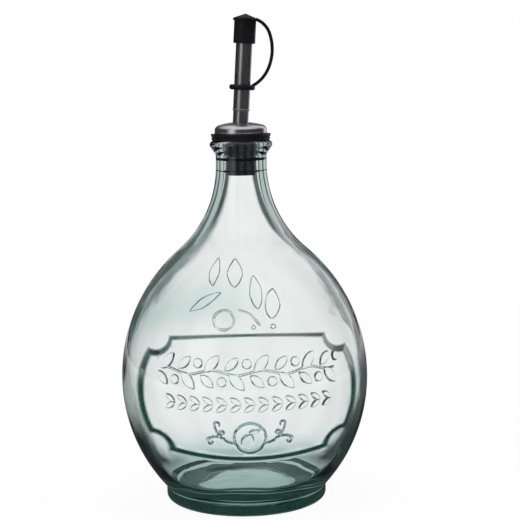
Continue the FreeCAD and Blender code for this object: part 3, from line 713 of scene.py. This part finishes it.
def round_creases(bm, degrees, radius):
    """Rounds the edges that are sharper than an angle."""
    edges = [edge for edge in bm.edges if edge.calc_face_angle(0.0) > math.radians(degrees)]
    bmesh.ops.bevel(bm, geom=edges, offset=radius, segments=2, profile=0.5,
                    affect="EDGES", material=-1)


def leaning(spout):
    """Puts what is made round the Z axis, from the collar's top up, on the spout's axis."""
    return (Matrix.Translation((0.0, 0.0, COLLAR[1].z)) @ Matrix.Rotation(spout.lean, 4, "Y"))


# ---------------------------------------------------------------- materials

class Nodes:
    """Short calls that add nodes to one material or world."""

    def __init__(self, owner):
        owner.use_nodes = True
        self.tree = owner.node_tree
        self.tree.nodes.clear()
        self.place = 0

    def add(self, kind, settings=None, **inputs):
        """A node, with its settings and its inputs: an output of another node, or a value."""
        node = self.tree.nodes.new(kind)
        node.location = (self.place * 180, 0)
        self.place += 1
        for name, value in (settings or {}).items():
            setattr(node, name, value)
        for name, value in inputs.items():
            self.put(node, name, value)
        return node

    def put(self, node, name, value):
        """Sets one input. It is named, with _ for a blank, or numbered, as n0 or n1."""
        number = name[1:] if name[:1] == "n" and name[1:].isdigit() else None
        socket = node.inputs[int(number)] if number else node.inputs[name.replace("_", " ")]
        if isinstance(value, bpy.types.NodeSocket):
            self.tree.links.new(value, socket)
        elif isinstance(value, bpy.types.Node):
            self.tree.links.new(value.outputs[0], socket)
        elif socket.type == "RGBA":
            socket.default_value = (*value, 1.0)
        else:
            socket.default_value = value

    def math(self, operation, first, second=0.0, third=0.0):
        return self.add("ShaderNodeMath", {"operation": operation},
                        n0=first, n1=second, n2=third)

    def blend(self, share, first, second):
        """Runs from one colour to another as a share runs from 0 to 1."""
        return self.add("ShaderNodeMix", {"data_type": "RGBA"},
                        n0=share, n6=first, n7=second).outputs[2]

    def between(self, value, low, high, first=0.0, last=1.0):
        """Runs from first to last, smoothly, as a value runs from low to high."""
        return self.add("ShaderNodeMapRange", {"interpolation_type": "SMOOTHSTEP"},
                        n0=value, n1=low, n2=high, n3=first, n4=last)

    def here(self):
        return self.add("ShaderNodeTexCoord").outputs["Object"]

    def noise(self, where, scale, detail=3.0, roughness=0.5):
        return self.add("ShaderNodeTexNoise", Vector=where, Scale=scale, Detail=detail,
                        Roughness=roughness).outputs[0]

    def stretched(self, where, scale):
        return self.add("ShaderNodeMapping", Vector=where, Scale=scale).outputs[0]

    def bump(self, height, strength, distance):
        return self.add("ShaderNodeBump", Height=height, Strength=strength,
                        Distance=distance).outputs[0]


def scaled(colour_value, factor):
    """A colour made lighter or darker."""
    return tuple(part * factor for part in colour_value)


def new_material(name):
    """A material, the calls that add its nodes, and the place on the object."""
    material = bpy.data.materials.new(name)
    n = Nodes(material)
    return material, n, n.here()


def glass_material(f):
    """Pale green recycled glass: clear, slightly wavy, with painted shade at its steps, in its foot
    and on its shoulder.
    """
    material, n, where = new_material("bottle_glass")
    height = n.bump(n.noise(where, 38.0, 2.0), 0.35, 0.0008)
    haze = n.between(n.noise(where, 60.0, 4.0), 0.4, 0.8, 0.0, 0.02)
    # The tone attribute is painted shade: it darkens the tint towards the shade colours.
    tone = n.add("ShaderNodeAttribute", {"attribute_name": "tone"}).outputs["Fac"]
    tint_with_shade = n.blend(n.between(tone, 0.0, 0.4), f.glass, f.glass_middle_shade)
    tint_with_shade = n.blend(n.between(tone, 0.4, 1.0), tint_with_shade, f.glass_edge_shade)
    shader = n.add("ShaderNodeBsdfPrincipled", Base_Color=tint_with_shade, Roughness=haze, IOR=1.52,
                   Transmission_Weight=1.0, Normal=height)
    depth = n.add("ShaderNodeVolumeAbsorption", Color=f.glass_depth,
                  Density=f.glass_density)
    n.add("ShaderNodeOutputMaterial", Surface=shader, Volume=depth)
    return material


def ground_material(f):
    """The stippled ring under the foot, dull and pale green."""
    material, n, where = new_material("ground_ring")
    stipple = n.noise(where, 700.0, 2.0)
    tone = n.blend(n.between(stipple, 0.3, 0.7), scaled(f.ground, 0.8), scaled(f.ground, 1.2))
    shader = n.add("ShaderNodeBsdfPrincipled", Base_Color=tone, Roughness=0.65,
                   Specular_IOR_Level=0.2, Normal=n.bump(stipple, 0.4, 0.0002))
    n.add("ShaderNodeOutputMaterial", Surface=shader)
    return material


def rubber_material(name, base):
    """Black moulded rubber: satin, finely grained, a little paler where it is worn."""
    material, n, where = new_material(name)
    dust = n.between(n.noise(where, 90.0, 5.0, 0.6), 0.42, 0.72)
    tone = n.blend(dust, base, scaled(base, 1.9))
    grain = n.noise(where, 2600.0, 3.0, 0.6)
    rough = n.between(n.noise(where, 240.0, 3.0), 0.3, 0.7, 0.38, 0.52)
    shader = n.add("ShaderNodeBsdfPrincipled", Base_Color=tone, Roughness=rough,
                   Specular_IOR_Level=0.14, Normal=n.bump(grain, 0.25, 0.0001))
    n.add("ShaderNodeOutputMaterial", Surface=shader)
    return material


def steel_material(name, base, roughness, streak):
    """Steel with fine lines left by the tool, along or round the piece."""
    material, n, where = new_material(name)
    lines = n.noise(n.stretched(where, streak), 900.0, 4.0, 0.6)
    cloud = n.noise(where, 70.0, 3.0)
    tone = n.blend(n.between(cloud, 0.3, 0.75), scaled(base, 1.06), scaled(base, 0.86))
    rough = n.between(lines, 0.25, 0.75, 0.8 * roughness, 1.25 * roughness)
    shader = n.add("ShaderNodeBsdfPrincipled", Base_Color=tone, Metallic=1.0,
                   Roughness=rough, Normal=n.bump(lines, 0.18, 0.00005))
    n.add("ShaderNodeOutputMaterial", Surface=shader)
    return material


# ---------------------------------------------------------------- pieces

def make_glass(scene):
    """The bottle, with its relief, its wavy inside and the painted shade in its glass."""
    bottle, finishes = scene.cruet_bottle, scene.cruet_finishes
    relief = Relief(bottle, scene.cruet_panel)
    bm = spun(chain(relief.wall.outside(), relief.wall.inside()), bottle.columns)
    for room, cuts in FINER:
        faces = [f for f in bm.faces if relief.is_near(f.calc_center_median(), room)]
        edges = list({edge for face in faces for edge in face.edges})
        bmesh.ops.subdivide_edges(bm, edges=edges, cuts=cuts, use_grid_fill=True)
    shade_tones = bm.verts.layers.float.new("tone")
    for vert in bm.verts:
        if relief.on_outside(vert.co):
            vert.co, vert[shade_tones] = relief.raised(vert.co)
        elif relief.wall.on_inside(vert.co):
            vert.co = relief.wall.wavy(vert.co)
        # The rest of the foot gets the foot's painted shade
        elif vert.co.z < bottle.belly_height:
            vert[shade_tones] = scene.cruet_panel.foot_shade
    bmesh.ops.recalc_face_normals(bm, faces=bm.faces)
    for face in bm.faces:
        middle = face.calc_center_median()
        across = math.hypot(middle.x, middle.y)
        face.material_index = int(middle.z < GROUND_SHARE * bottle.hollow_rise
                                  and across < bottle.foot_radius - bottle.foot_round)
    dressed(piece("bottle_glass", bm), "bottle", "bottle_glass",
            glass_material(finishes), ground_material(finishes))


def fin(middle, height, taper, core, radius):
    """Outline of one fin, from its lower root out and back to the upper one."""
    root, tip = (height + taper) / 2, height / 2
    return [(core, middle - root), (radius, middle - tip),
            (radius, middle + tip), (core, middle + root)]


def drilled(scene, obj):
    """Cuts the spout's slanting hole through a piece."""
    spout = scene.cruet_spout
    radius = spout.radius - spout.step + spout.clearance
    bm = bmesh.new()
    bmesh.ops.create_cone(bm, cap_ends=True, segments=64, radius1=radius, radius2=radius,
                          depth=2 * spout.length, matrix=leaning(spout))
    return combined(obj, [piece("spout_hole", bm)], "DIFFERENCE")


def make_stopper(scene):
    """The flange on the lip, the full part and the two fins in the bore."""
    s, bottle = scene.cruet_stopper, scene.cruet_bottle
    top, grip = bottle.mouth_height, bottle.bore_radius + s.fin_bite
    middle, half = top + s.flange_height / 2, s.groove_width / 2
    waist = s.flange_radius - s.flange_taper / 2
    outline = [
        (0.0, top - s.reach), (s.core_radius, top - s.reach),
        *fin(top - s.lower_fin, s.lower_fin_height, s.fin_taper, s.core_radius, grip),
        *fin(top - s.upper_fin, s.upper_fin_height, s.fin_taper, s.core_radius, grip),
        (s.core_radius, top - s.plug_length - s.plug_taper),
        (s.plug_radius, top - s.plug_length), (s.plug_radius, top),
        (s.flange_radius - s.flange_taper, top), (waist, middle - half),
        (waist - s.groove, middle), (waist, middle + half),
        (s.flange_radius, top + s.flange_height), (0.0, top + s.flange_height)]
    bm = spun(outline, 96)
    round_creases(bm, 20, s.edge_round)
    obj = drilled(scene, piece("stopper_rubber", bm))
    dressed(obj, "stopper", "stopper_rubber",
            rubber_material("stopper_rubber", scene.cruet_finishes.rubber))


def make_collar(scene):
    """The collar's upright side and its domed top."""
    s = scene.cruet_spout
    base, side = COLLAR[0].z, COLLAR[0].z + s.collar_side
    crown = side + s.collar_rise - s.dome_radius
    reach = math.hypot(s.collar_radius, side - crown)
    inner = s.dome_radius - s.dome_edge
    spread = math.acos((reach ** 2 + s.dome_edge ** 2 - inner ** 2) / (2 * reach * s.dome_edge))
    turn = math.atan2(crown - side, -s.collar_radius) - spread
    centre = polar((s.collar_radius, side), s.dome_edge, turn)
    first = math.atan2(side - centre[1], s.collar_radius - centre[0])
    last = math.atan2(centre[1] - crown, centre[0])
    outline = chain(
        [(0.0, base), (s.collar_radius, base)],
        arc(centre, s.dome_edge, first, last, 0.0006),
        arc((0.0, crown), s.dome_radius, last, UP, 0.0012))
    bm = spun(outline, 128)
    round_creases(bm, 60, COLLAR_ROUND)
    obj = drilled(scene, piece("collar_steel", bm))
    dressed(obj, "collar", "collar_metal",
            steel_material("collar_metal", scene.cruet_finishes.collar, 0.24, (1, 1, 12)))


def make_spout(scene):
    """The hollow tube with its bead."""
    s = scene.cruet_spout
    neck, bore, bead = s.radius - s.step, s.radius - s.wall, s.bead_width / 2
    lip = 0.3 * s.wall
    outline = chain(
        [(bore, -s.depth), (neck, -s.depth), (neck, s.bead_height - bead)],
        arc((s.radius + s.bead_proud - bead, s.bead_height), bead,
            -math.pi / 3, math.pi / 3, 0.0002),
        [(s.radius, s.bead_height + bead)],
        line((s.radius, s.bead_height + bead), (s.radius, s.length - lip), 0.005),
        [(s.radius - lip, s.length), (bore + lip, s.length), (bore, s.length - lip)])
    bm = spun(outline, 72, closed=True)
    bmesh.ops.transform(bm, matrix=leaning(s), verts=bm.verts)
    dressed(piece("spout_steel", bm), "spout", "spout_metal",
            steel_material("spout_metal", scene.cruet_finishes.spout, 0.3, (14, 14, 0.6)))


def make_strap(c):
    """One bar with the strap's section, bent round the centres of its three arcs."""
    middle = (c.strap_stand - c.strap_arc, c.strap_height)
    knee = polar(middle, c.strap_arc - c.strap_upper_arc, c.upper_turn)
    heel = polar(middle, c.strap_arc - c.strap_lower_arc, -c.lower_turn)
    bm = bmesh.new()
    half, side = c.strap_thickness / 2, c.strap_width / 2
    corners = ((-half, -side), (half, -side), (half, side), (-half, side))
    verts = []
    for out, across in corners:
        x, z = polar(knee, c.strap_upper_arc + out, c.upper_end)
        verts.append(bm.verts.new((x, across, z)))
    section = [bm.faces.new(verts)]
    section += section[0].edges[:] + verts
    for centre, turn in ((knee, c.upper_end - c.upper_turn),
                         (middle, c.upper_turn + c.lower_turn),
                         (heel, c.lower_end - c.lower_turn)):
        section = bmesh.ops.spin(bm, geom=section, cent=(centre[0], 0, centre[1]),
                                 axis=(0, 1, 0), angle=turn,
                                 steps=math.ceil(turn / math.radians(4)))["geom_last"]
    loose = [edge for edge in bm.edges if edge.is_boundary]
    if loose:
        bmesh.ops.holes_fill(bm, edges=loose)
    bmesh.ops.remove_doubles(bm, verts=bm.verts, dist=SAME_PLACE)
    bmesh.ops.recalc_face_normals(bm, faces=bm.faces)
    round_creases(bm, 60, STRAP_ROUND)
    return piece("strap", bm)


def make_cap(scene):
    """The cap over the spout's end, its strap and the ring round the spout."""
    c, s = scene.cruet_cap, scene.cruet_spout
    socket = s.radius + c.clearance
    radius = socket + c.wall
    brim, mouth = s.length - c.brim_overlap, s.length - c.depth
    edge, top = radius + c.brim_overhang - c.brim_round, brim + c.brim_height
    outline = chain(
        [(0.0, s.length), (socket, s.length), (socket, mouth)],
        arc((radius - c.edge_round, mouth + c.edge_round), c.edge_round, DOWN, 0, 0.0002),
        [(radius, brim)],
        arc((edge, brim + c.brim_round), c.brim_round, DOWN, 0, 0.0002),
        arc((edge, top - c.brim_round), c.brim_round, 0, UP, 0.0002),
        line((edge, top), (0.0, top + c.cone), 0.003))
    cap = piece("cap_rubber", spun(outline, 72))
    low, high = c.ring_place - c.ring_height / 2, c.ring_place + c.ring_height / 2
    bore = s.radius + c.ring_clearance
    out = bore + c.ring_wall - c.ring_bevel
    outline = chain(
        [(bore, high), (bore, low)],
        arc((out, low + c.ring_bevel), c.ring_bevel, DOWN, 0, 0.0003),
        arc((out, high - c.ring_bevel), c.ring_bevel, 0, UP, 0.0003))
    strap = make_strap(c)
    combined(cap, [strap, piece("ring", spun(outline, 72, closed=True))], "UNION")
    cap.data.transform(leaning(s))
    cap.data.shade_smooth()
    dressed(cap, "cap", "cap_rubber",
            rubber_material("cap_rubber", scaled(scene.cruet_finishes.rubber, 0.85)))


# ---------------------------------------------------------------- stage

# What only glass and metal show: the camera sees white in these places. A folded view
# has been reflected inside the glass.
WHITE = (1.0, 1.0, 1.0)
CARD = (0.04, 0.06, 0.06), (0.15, 0.19, 0.19)       # a card at the horizon: low, high
BACK_SHADE = (0.24, 0.30, 0.30)                     # between cards, behind the bottle
SKY = (0.40, 0.48, 0.46), (0.08, 0.12, 0.12)        # above the cards: behind, elsewhere
SKY_TOP = (0.32, 0.39, 0.38)
FOLDED = (0.10, 0.14, 0.13), (0.52, 0.59, 0.57)     # folded views: a card, between cards
GLOSS = (0.05, 0.05, 0.055), WHITE                  # in reflections: dark, bright
SECTOR_NEAR = (0.015, 0.03, 0.025)                  # painted shade: dark sectors of the floor beside the foot
SECTOR_OUT = (0.26, 0.31, 0.30), (0.03, 0.04, 0.04)  # painted shade further out: left, right
FLOOR = (0.58, 0.68, 0.66), WHITE                   # the rest of the floor: painted shade near the foot, white far out
FOOT = (0.27, 0.44, 0.39), (0.02, 0.04, 0.035)      # painted shade at the foot in folded views: middle, edge
FOOT_OUT = (0.45, 0.50, 0.48), (0.09, 0.11, 0.11)   # painted shade further out in folded views: left, right
MIRRORED = (0.05, 0.06, 0.06), (0.95, 0.95, 0.95)   # the floor in reflections: painted shade near, pale far

# What lights the object: the world from below and from above, and the floor
AMBIENT = (0.45, 0.45, 0.45), (0.65, 0.65, 0.65)
PAPER = (0.8, 0.8, 0.8)

# Where one colour runs into the next: directions have a length of 1, turns are in radians
CARDS = 8.0                         # cards all round
CARD_EDGE = (-0.7, -0.05)
BRIGHT_HALF = (-0.9, 0.5)
SLANT = -0.5
ABOVE_SLANT = (-0.01, 0.11)
BEHIND = (0.5, 0.8)
CARD_HEIGHT = (0.0, 0.1)
BESIDE_BACK = (0.25, 0.6)
HIGH = (0.42, 0.62)
LEVEL = (0.0, 0.22)
STRIP = (0.80, 0.97)
BACK_LIGHT = (0.965, 0.995)
TOP_LIGHT = (0.35, 0.95)

# The same on the floor, in metres from the axis
MIDDLE_LINE = (-0.05, 0.05)
FURTHER_OUT = (0.10, 0.22)
PALE = (0.03, 0.14)
SECTOR_TURNS = (0.52, 0.82), (1.15, 1.45, 1.0, 0.0)
SECTOR_REACH = (0.045, 0.07), (0.45, 0.75, 1.0, 0.0)
FOOT_RIM = (0.036, 0.058)
MIRROR = (0.35, 0.9)

# Name, place, size and power of each lamp
LAMPS = (("left", (-0.9, -0.6, 0.8), 0.7, 5.0), ("right", (0.9, -0.4, 0.9), 0.7, 4.0),
         ("top", (0.0, 0.2, 1.3), 0.9, 5.0))
LAMPS_TOWARDS = (0.0, 0.0, 0.13)


def world_in_glass(n, x, y, z, folded):
    """What glass shows of the world: cards near the horizon, and a grey sky above them."""
    around = n.math("ARCTAN2", x, y)
    waves = n.math("MULTIPLY", around, CARDS)
    gap = n.between(n.math("COSINE", waves), *CARD_EDGE)
    bright = n.between(n.math("SINE", waves), *BRIGHT_HALF)
    raised = n.between(n.math("MULTIPLY_ADD", x, SLANT, z), *ABOVE_SLANT)
    shaded = n.blend(n.math("MULTIPLY", raised, n.between(y, *BEHIND)), WHITE, BACK_SHADE)
    card = n.blend(n.between(z, *CARD_HEIGHT), *CARD)
    level = n.blend(gap, card, n.blend(bright, shaded, WHITE))
    beside = n.between(n.math("ABSOLUTE", around), *BESIDE_BACK)
    sky = n.blend(n.between(z, *HIGH), n.blend(beside, *SKY), SKY_TOP)
    straight = n.blend(n.between(z, *LEVEL), level, sky)
    return n.blend(folded, straight, n.blend(gap, *FOLDED))


def world_in_gloss(n, x, y, z, strip):
    """What reflections show of the world: dark, with bright places to shine in steel."""
    twice = n.math("MULTIPLY", n.math("ARCTAN2", x, y), 2.0)
    strips = n.between(n.math("COSINE", n.math("SUBTRACT", twice, 2 * strip)), *STRIP)
    bright = n.math("MAXIMUM", n.between(y, *BACK_LIGHT),
                    n.math("MAXIMUM", strips, n.between(z, *TOP_LIGHT)))
    return n.blend(bright, *GLOSS)


def daylight(scene, t):
    """A white world, in which glass and metal show dark places as well."""
    world = bpy.data.worlds.new("daylight")
    scene.world = world
    n = Nodes(world)
    ray = n.add("ShaderNodeLightPath").outputs
    where = n.add("ShaderNodeTexCoord").outputs["Generated"]
    x, y, z = n.add("ShaderNodeSeparateXYZ", Vector=where).outputs
    folded = n.math("GREATER_THAN", ray["Glossy Depth"], 0.5)
    ambient = n.blend(n.between(z, -1.0, 1.0), *AMBIENT)
    shown = n.blend(ray["Is Glossy Ray"], ambient, world_in_gloss(n, x, y, z, t.strip))
    shown = n.blend(ray["Is Transmission Ray"], shown, world_in_glass(n, x, y, z, folded))
    shown = n.blend(ray["Is Camera Ray"], shown, WHITE)
    n.add("ShaderNodeOutputWorld", Surface=n.add("ShaderNodeBackground", Color=shown))


def floor_in_glass(n, where, away, folded):
    """What glass shows of the floor: painted shade round the foot, darkest in a sector behind the
    foot on each side.
    """
    x, y, _ = n.add("ShaderNodeSeparateXYZ", Vector=where).outputs
    to_right, out = n.between(x, *MIDDLE_LINE), n.between(away, *FURTHER_OUT)
    turn = n.math("ABSOLUTE", n.math("ARCTAN2", x, y))
    sector = 1.0
    for value, edges in ((turn, SECTOR_TURNS), (away, SECTOR_REACH)):
        for edge in edges:
            sector = n.math("MULTIPLY", n.between(value, *edge), sector)
    dark = n.blend(out, SECTOR_NEAR, n.blend(to_right, *SECTOR_OUT))
    straight = n.blend(sector, n.blend(n.between(away, *PALE), *FLOOR), dark)
    foot = n.blend(n.between(away, *FOOT_RIM), *FOOT)
    return n.blend(folded, straight, n.blend(out, foot, n.blend(to_right, *FOOT_OUT)))


def floor_material(radius):
    """Paper that is white to the camera, in which glass and metal show painted shade near the
    bottle.
    """
    material, n, where = new_material("paper")
    ray = n.add("ShaderNodeLightPath").outputs
    through, glossy = ray["Is Transmission Ray"], ray["Is Glossy Ray"]
    away = n.add("ShaderNodeVectorMath", {"operation": "LENGTH"}, n0=where).outputs["Value"]
    folded = n.math("GREATER_THAN", ray["Glossy Depth"], 0.5)
    mirrored = n.blend(n.between(away, *MIRROR), *MIRRORED)
    tone = n.blend(through, n.blend(glossy, WHITE, mirrored),
                   floor_in_glass(n, where, away, folded))
    glow = n.add("ShaderNodeEmission", Color=tone, Strength=1.0)
    direct = n.math("MULTIPLY", ray["Is Camera Ray"],
                    n.between(away, 0.2 * radius, 0.8 * radius, 0.95, 1.0))
    shown = n.math("MAXIMUM", direct, n.math("MAXIMUM", glossy, through))
    paper = n.add("ShaderNodeBsdfDiffuse", Color=PAPER)
    n.add("ShaderNodeOutputMaterial",
          Surface=n.add("ShaderNodeMixShader", n0=shown, n1=paper, n2=glow))
    return material


def lamp(name, place, size, power):
    """A soft round lamp that reflections don't show."""
    data = bpy.data.lights.new(name, "AREA")
    data.shape, data.size, data.energy = "DISK", size, power
    obj = bpy.data.objects.new(name, data)
    obj.location = place
    towards = Vector(LAMPS_TOWARDS) - Vector(place)
    obj.rotation_euler = towards.to_track_quat("-Z", "Y").to_euler()
    obj.visible_glossy = obj.visible_transmission = False
    bpy.context.scene.collection.objects.link(obj)


def make_stage(scene):
    """The world, the floor, the lamps and the camera."""
    t = scene.cruet_stage
    scene.view_settings.view_transform = "Standard"
    daylight(scene, t)
    bm = bmesh.new()
    bmesh.ops.create_circle(bm, cap_ends=True, segments=128, radius=t.floor_radius,
                            matrix=Matrix.Translation((0, 0, -FLOOR_GAP)))
    floor = piece("floor", bm)
    floor.data.materials.append(floor_material(t.floor_radius))
    for settings in LAMPS:
        lamp(*settings)
    camera = bpy.data.cameras.new("camera")
    camera.lens, camera.shift_x = t.lens, t.shift
    eye = bpy.data.objects.new("camera", camera)
    scene.collection.objects.link(eye)
    eye.matrix_world = (
        Matrix.Rotation(t.turn, 4, "Z") @ Matrix.Translation((0, -t.distance, t.eye))
        @ Matrix.Rotation(math.pi / 2 - t.pitch, 4, "X") @ Matrix.Rotation(t.roll, 4, "Z"))
    scene.camera = eye


# ---------------------------------------------------------------- add-on

class CRUET_OT_glass(Operator):
    """Build the glass bottle with its raised panel and ornament"""
    bl_idname = "cruet.glass"
    bl_label = "Glass bottle"
    bl_options = {"REGISTER", "UNDO"}

    def execute(self, context):
        make_glass(context.scene)
        return {"FINISHED"}


class CRUET_OT_stopper(Operator):
    """Build the rubber stopper with its flange and fins"""
    bl_idname = "cruet.stopper"
    bl_label = "Stopper"
    bl_options = {"REGISTER", "UNDO"}

    def execute(self, context):
        make_stopper(context.scene)
        return {"FINISHED"}


class CRUET_OT_collar(Operator):
    """Build the domed steel collar"""
    bl_idname = "cruet.collar"
    bl_label = "Collar"
    bl_options = {"REGISTER", "UNDO"}

    def execute(self, context):
        make_collar(context.scene)
        return {"FINISHED"}


class CRUET_OT_spout(Operator):
    """Build the leaning steel spout"""
    bl_idname = "cruet.spout"
    bl_label = "Spout"
    bl_options = {"REGISTER", "UNDO"}

    def execute(self, context):
        make_spout(context.scene)
        return {"FINISHED"}


class CRUET_OT_cap(Operator):
    """Build the rubber cap with its strap and ring"""
    bl_idname = "cruet.cap"
    bl_label = "Cap and strap"
    bl_options = {"REGISTER", "UNDO"}

    def execute(self, context):
        make_cap(context.scene)
        return {"FINISHED"}


class CRUET_OT_stage(Operator):
    """Build the floor, the lamps and the camera"""
    bl_idname = "cruet.stage"
    bl_label = "Stage"
    bl_options = {"REGISTER", "UNDO"}

    def execute(self, context):
        make_stage(context.scene)
        return {"FINISHED"}


GROUPS = {"cruet_bottle": BottleSizes, "cruet_panel": PanelSizes,
          "cruet_stopper": StopperSizes, "cruet_spout": SpoutSizes, "cruet_cap": CapSizes,
          "cruet_finishes": Finishes, "cruet_stage": StageSizes}
OPERATORS = (CRUET_OT_glass, CRUET_OT_stopper, CRUET_OT_collar, CRUET_OT_spout, CRUET_OT_cap,
             CRUET_OT_stage)


class CRUET_PT_sizes(Panel):
    """Every size and colour of the cruet, with a button for each piece"""
    bl_idname = "CRUET_PT_sizes"
    bl_label = "Oil cruet"
    bl_space_type = "VIEW_3D"
    bl_region_type = "UI"
    bl_category = "Cruet"

    def draw(self, context):
        for operator in OPERATORS:
            self.layout.operator(operator.bl_idname)
        for group, kind in GROUPS.items():
            box = self.layout.box()
            for name in kind.__annotations__:
                box.prop(getattr(context.scene, group), name)


def register():
    for kind in (*GROUPS.values(), *OPERATORS, CRUET_PT_sizes):
        bpy.utils.register_class(kind)
    for group, kind in GROUPS.items():
        setattr(bpy.types.Scene, group, PointerProperty(type=kind))


def unregister():
    for group in GROUPS:
        delattr(bpy.types.Scene, group)
    for kind in reversed((*GROUPS.values(), *OPERATORS, CRUET_PT_sizes)):
        bpy.utils.unregister_class(kind)


def main():
    register()
    bpy.ops.cruet.glass()
    bpy.ops.cruet.stopper()
    bpy.ops.cruet.collar()
    bpy.ops.cruet.spout()
    bpy.ops.cruet.cap()
    bpy.ops.cruet.stage()


if __name__ == "__main__":
    main()
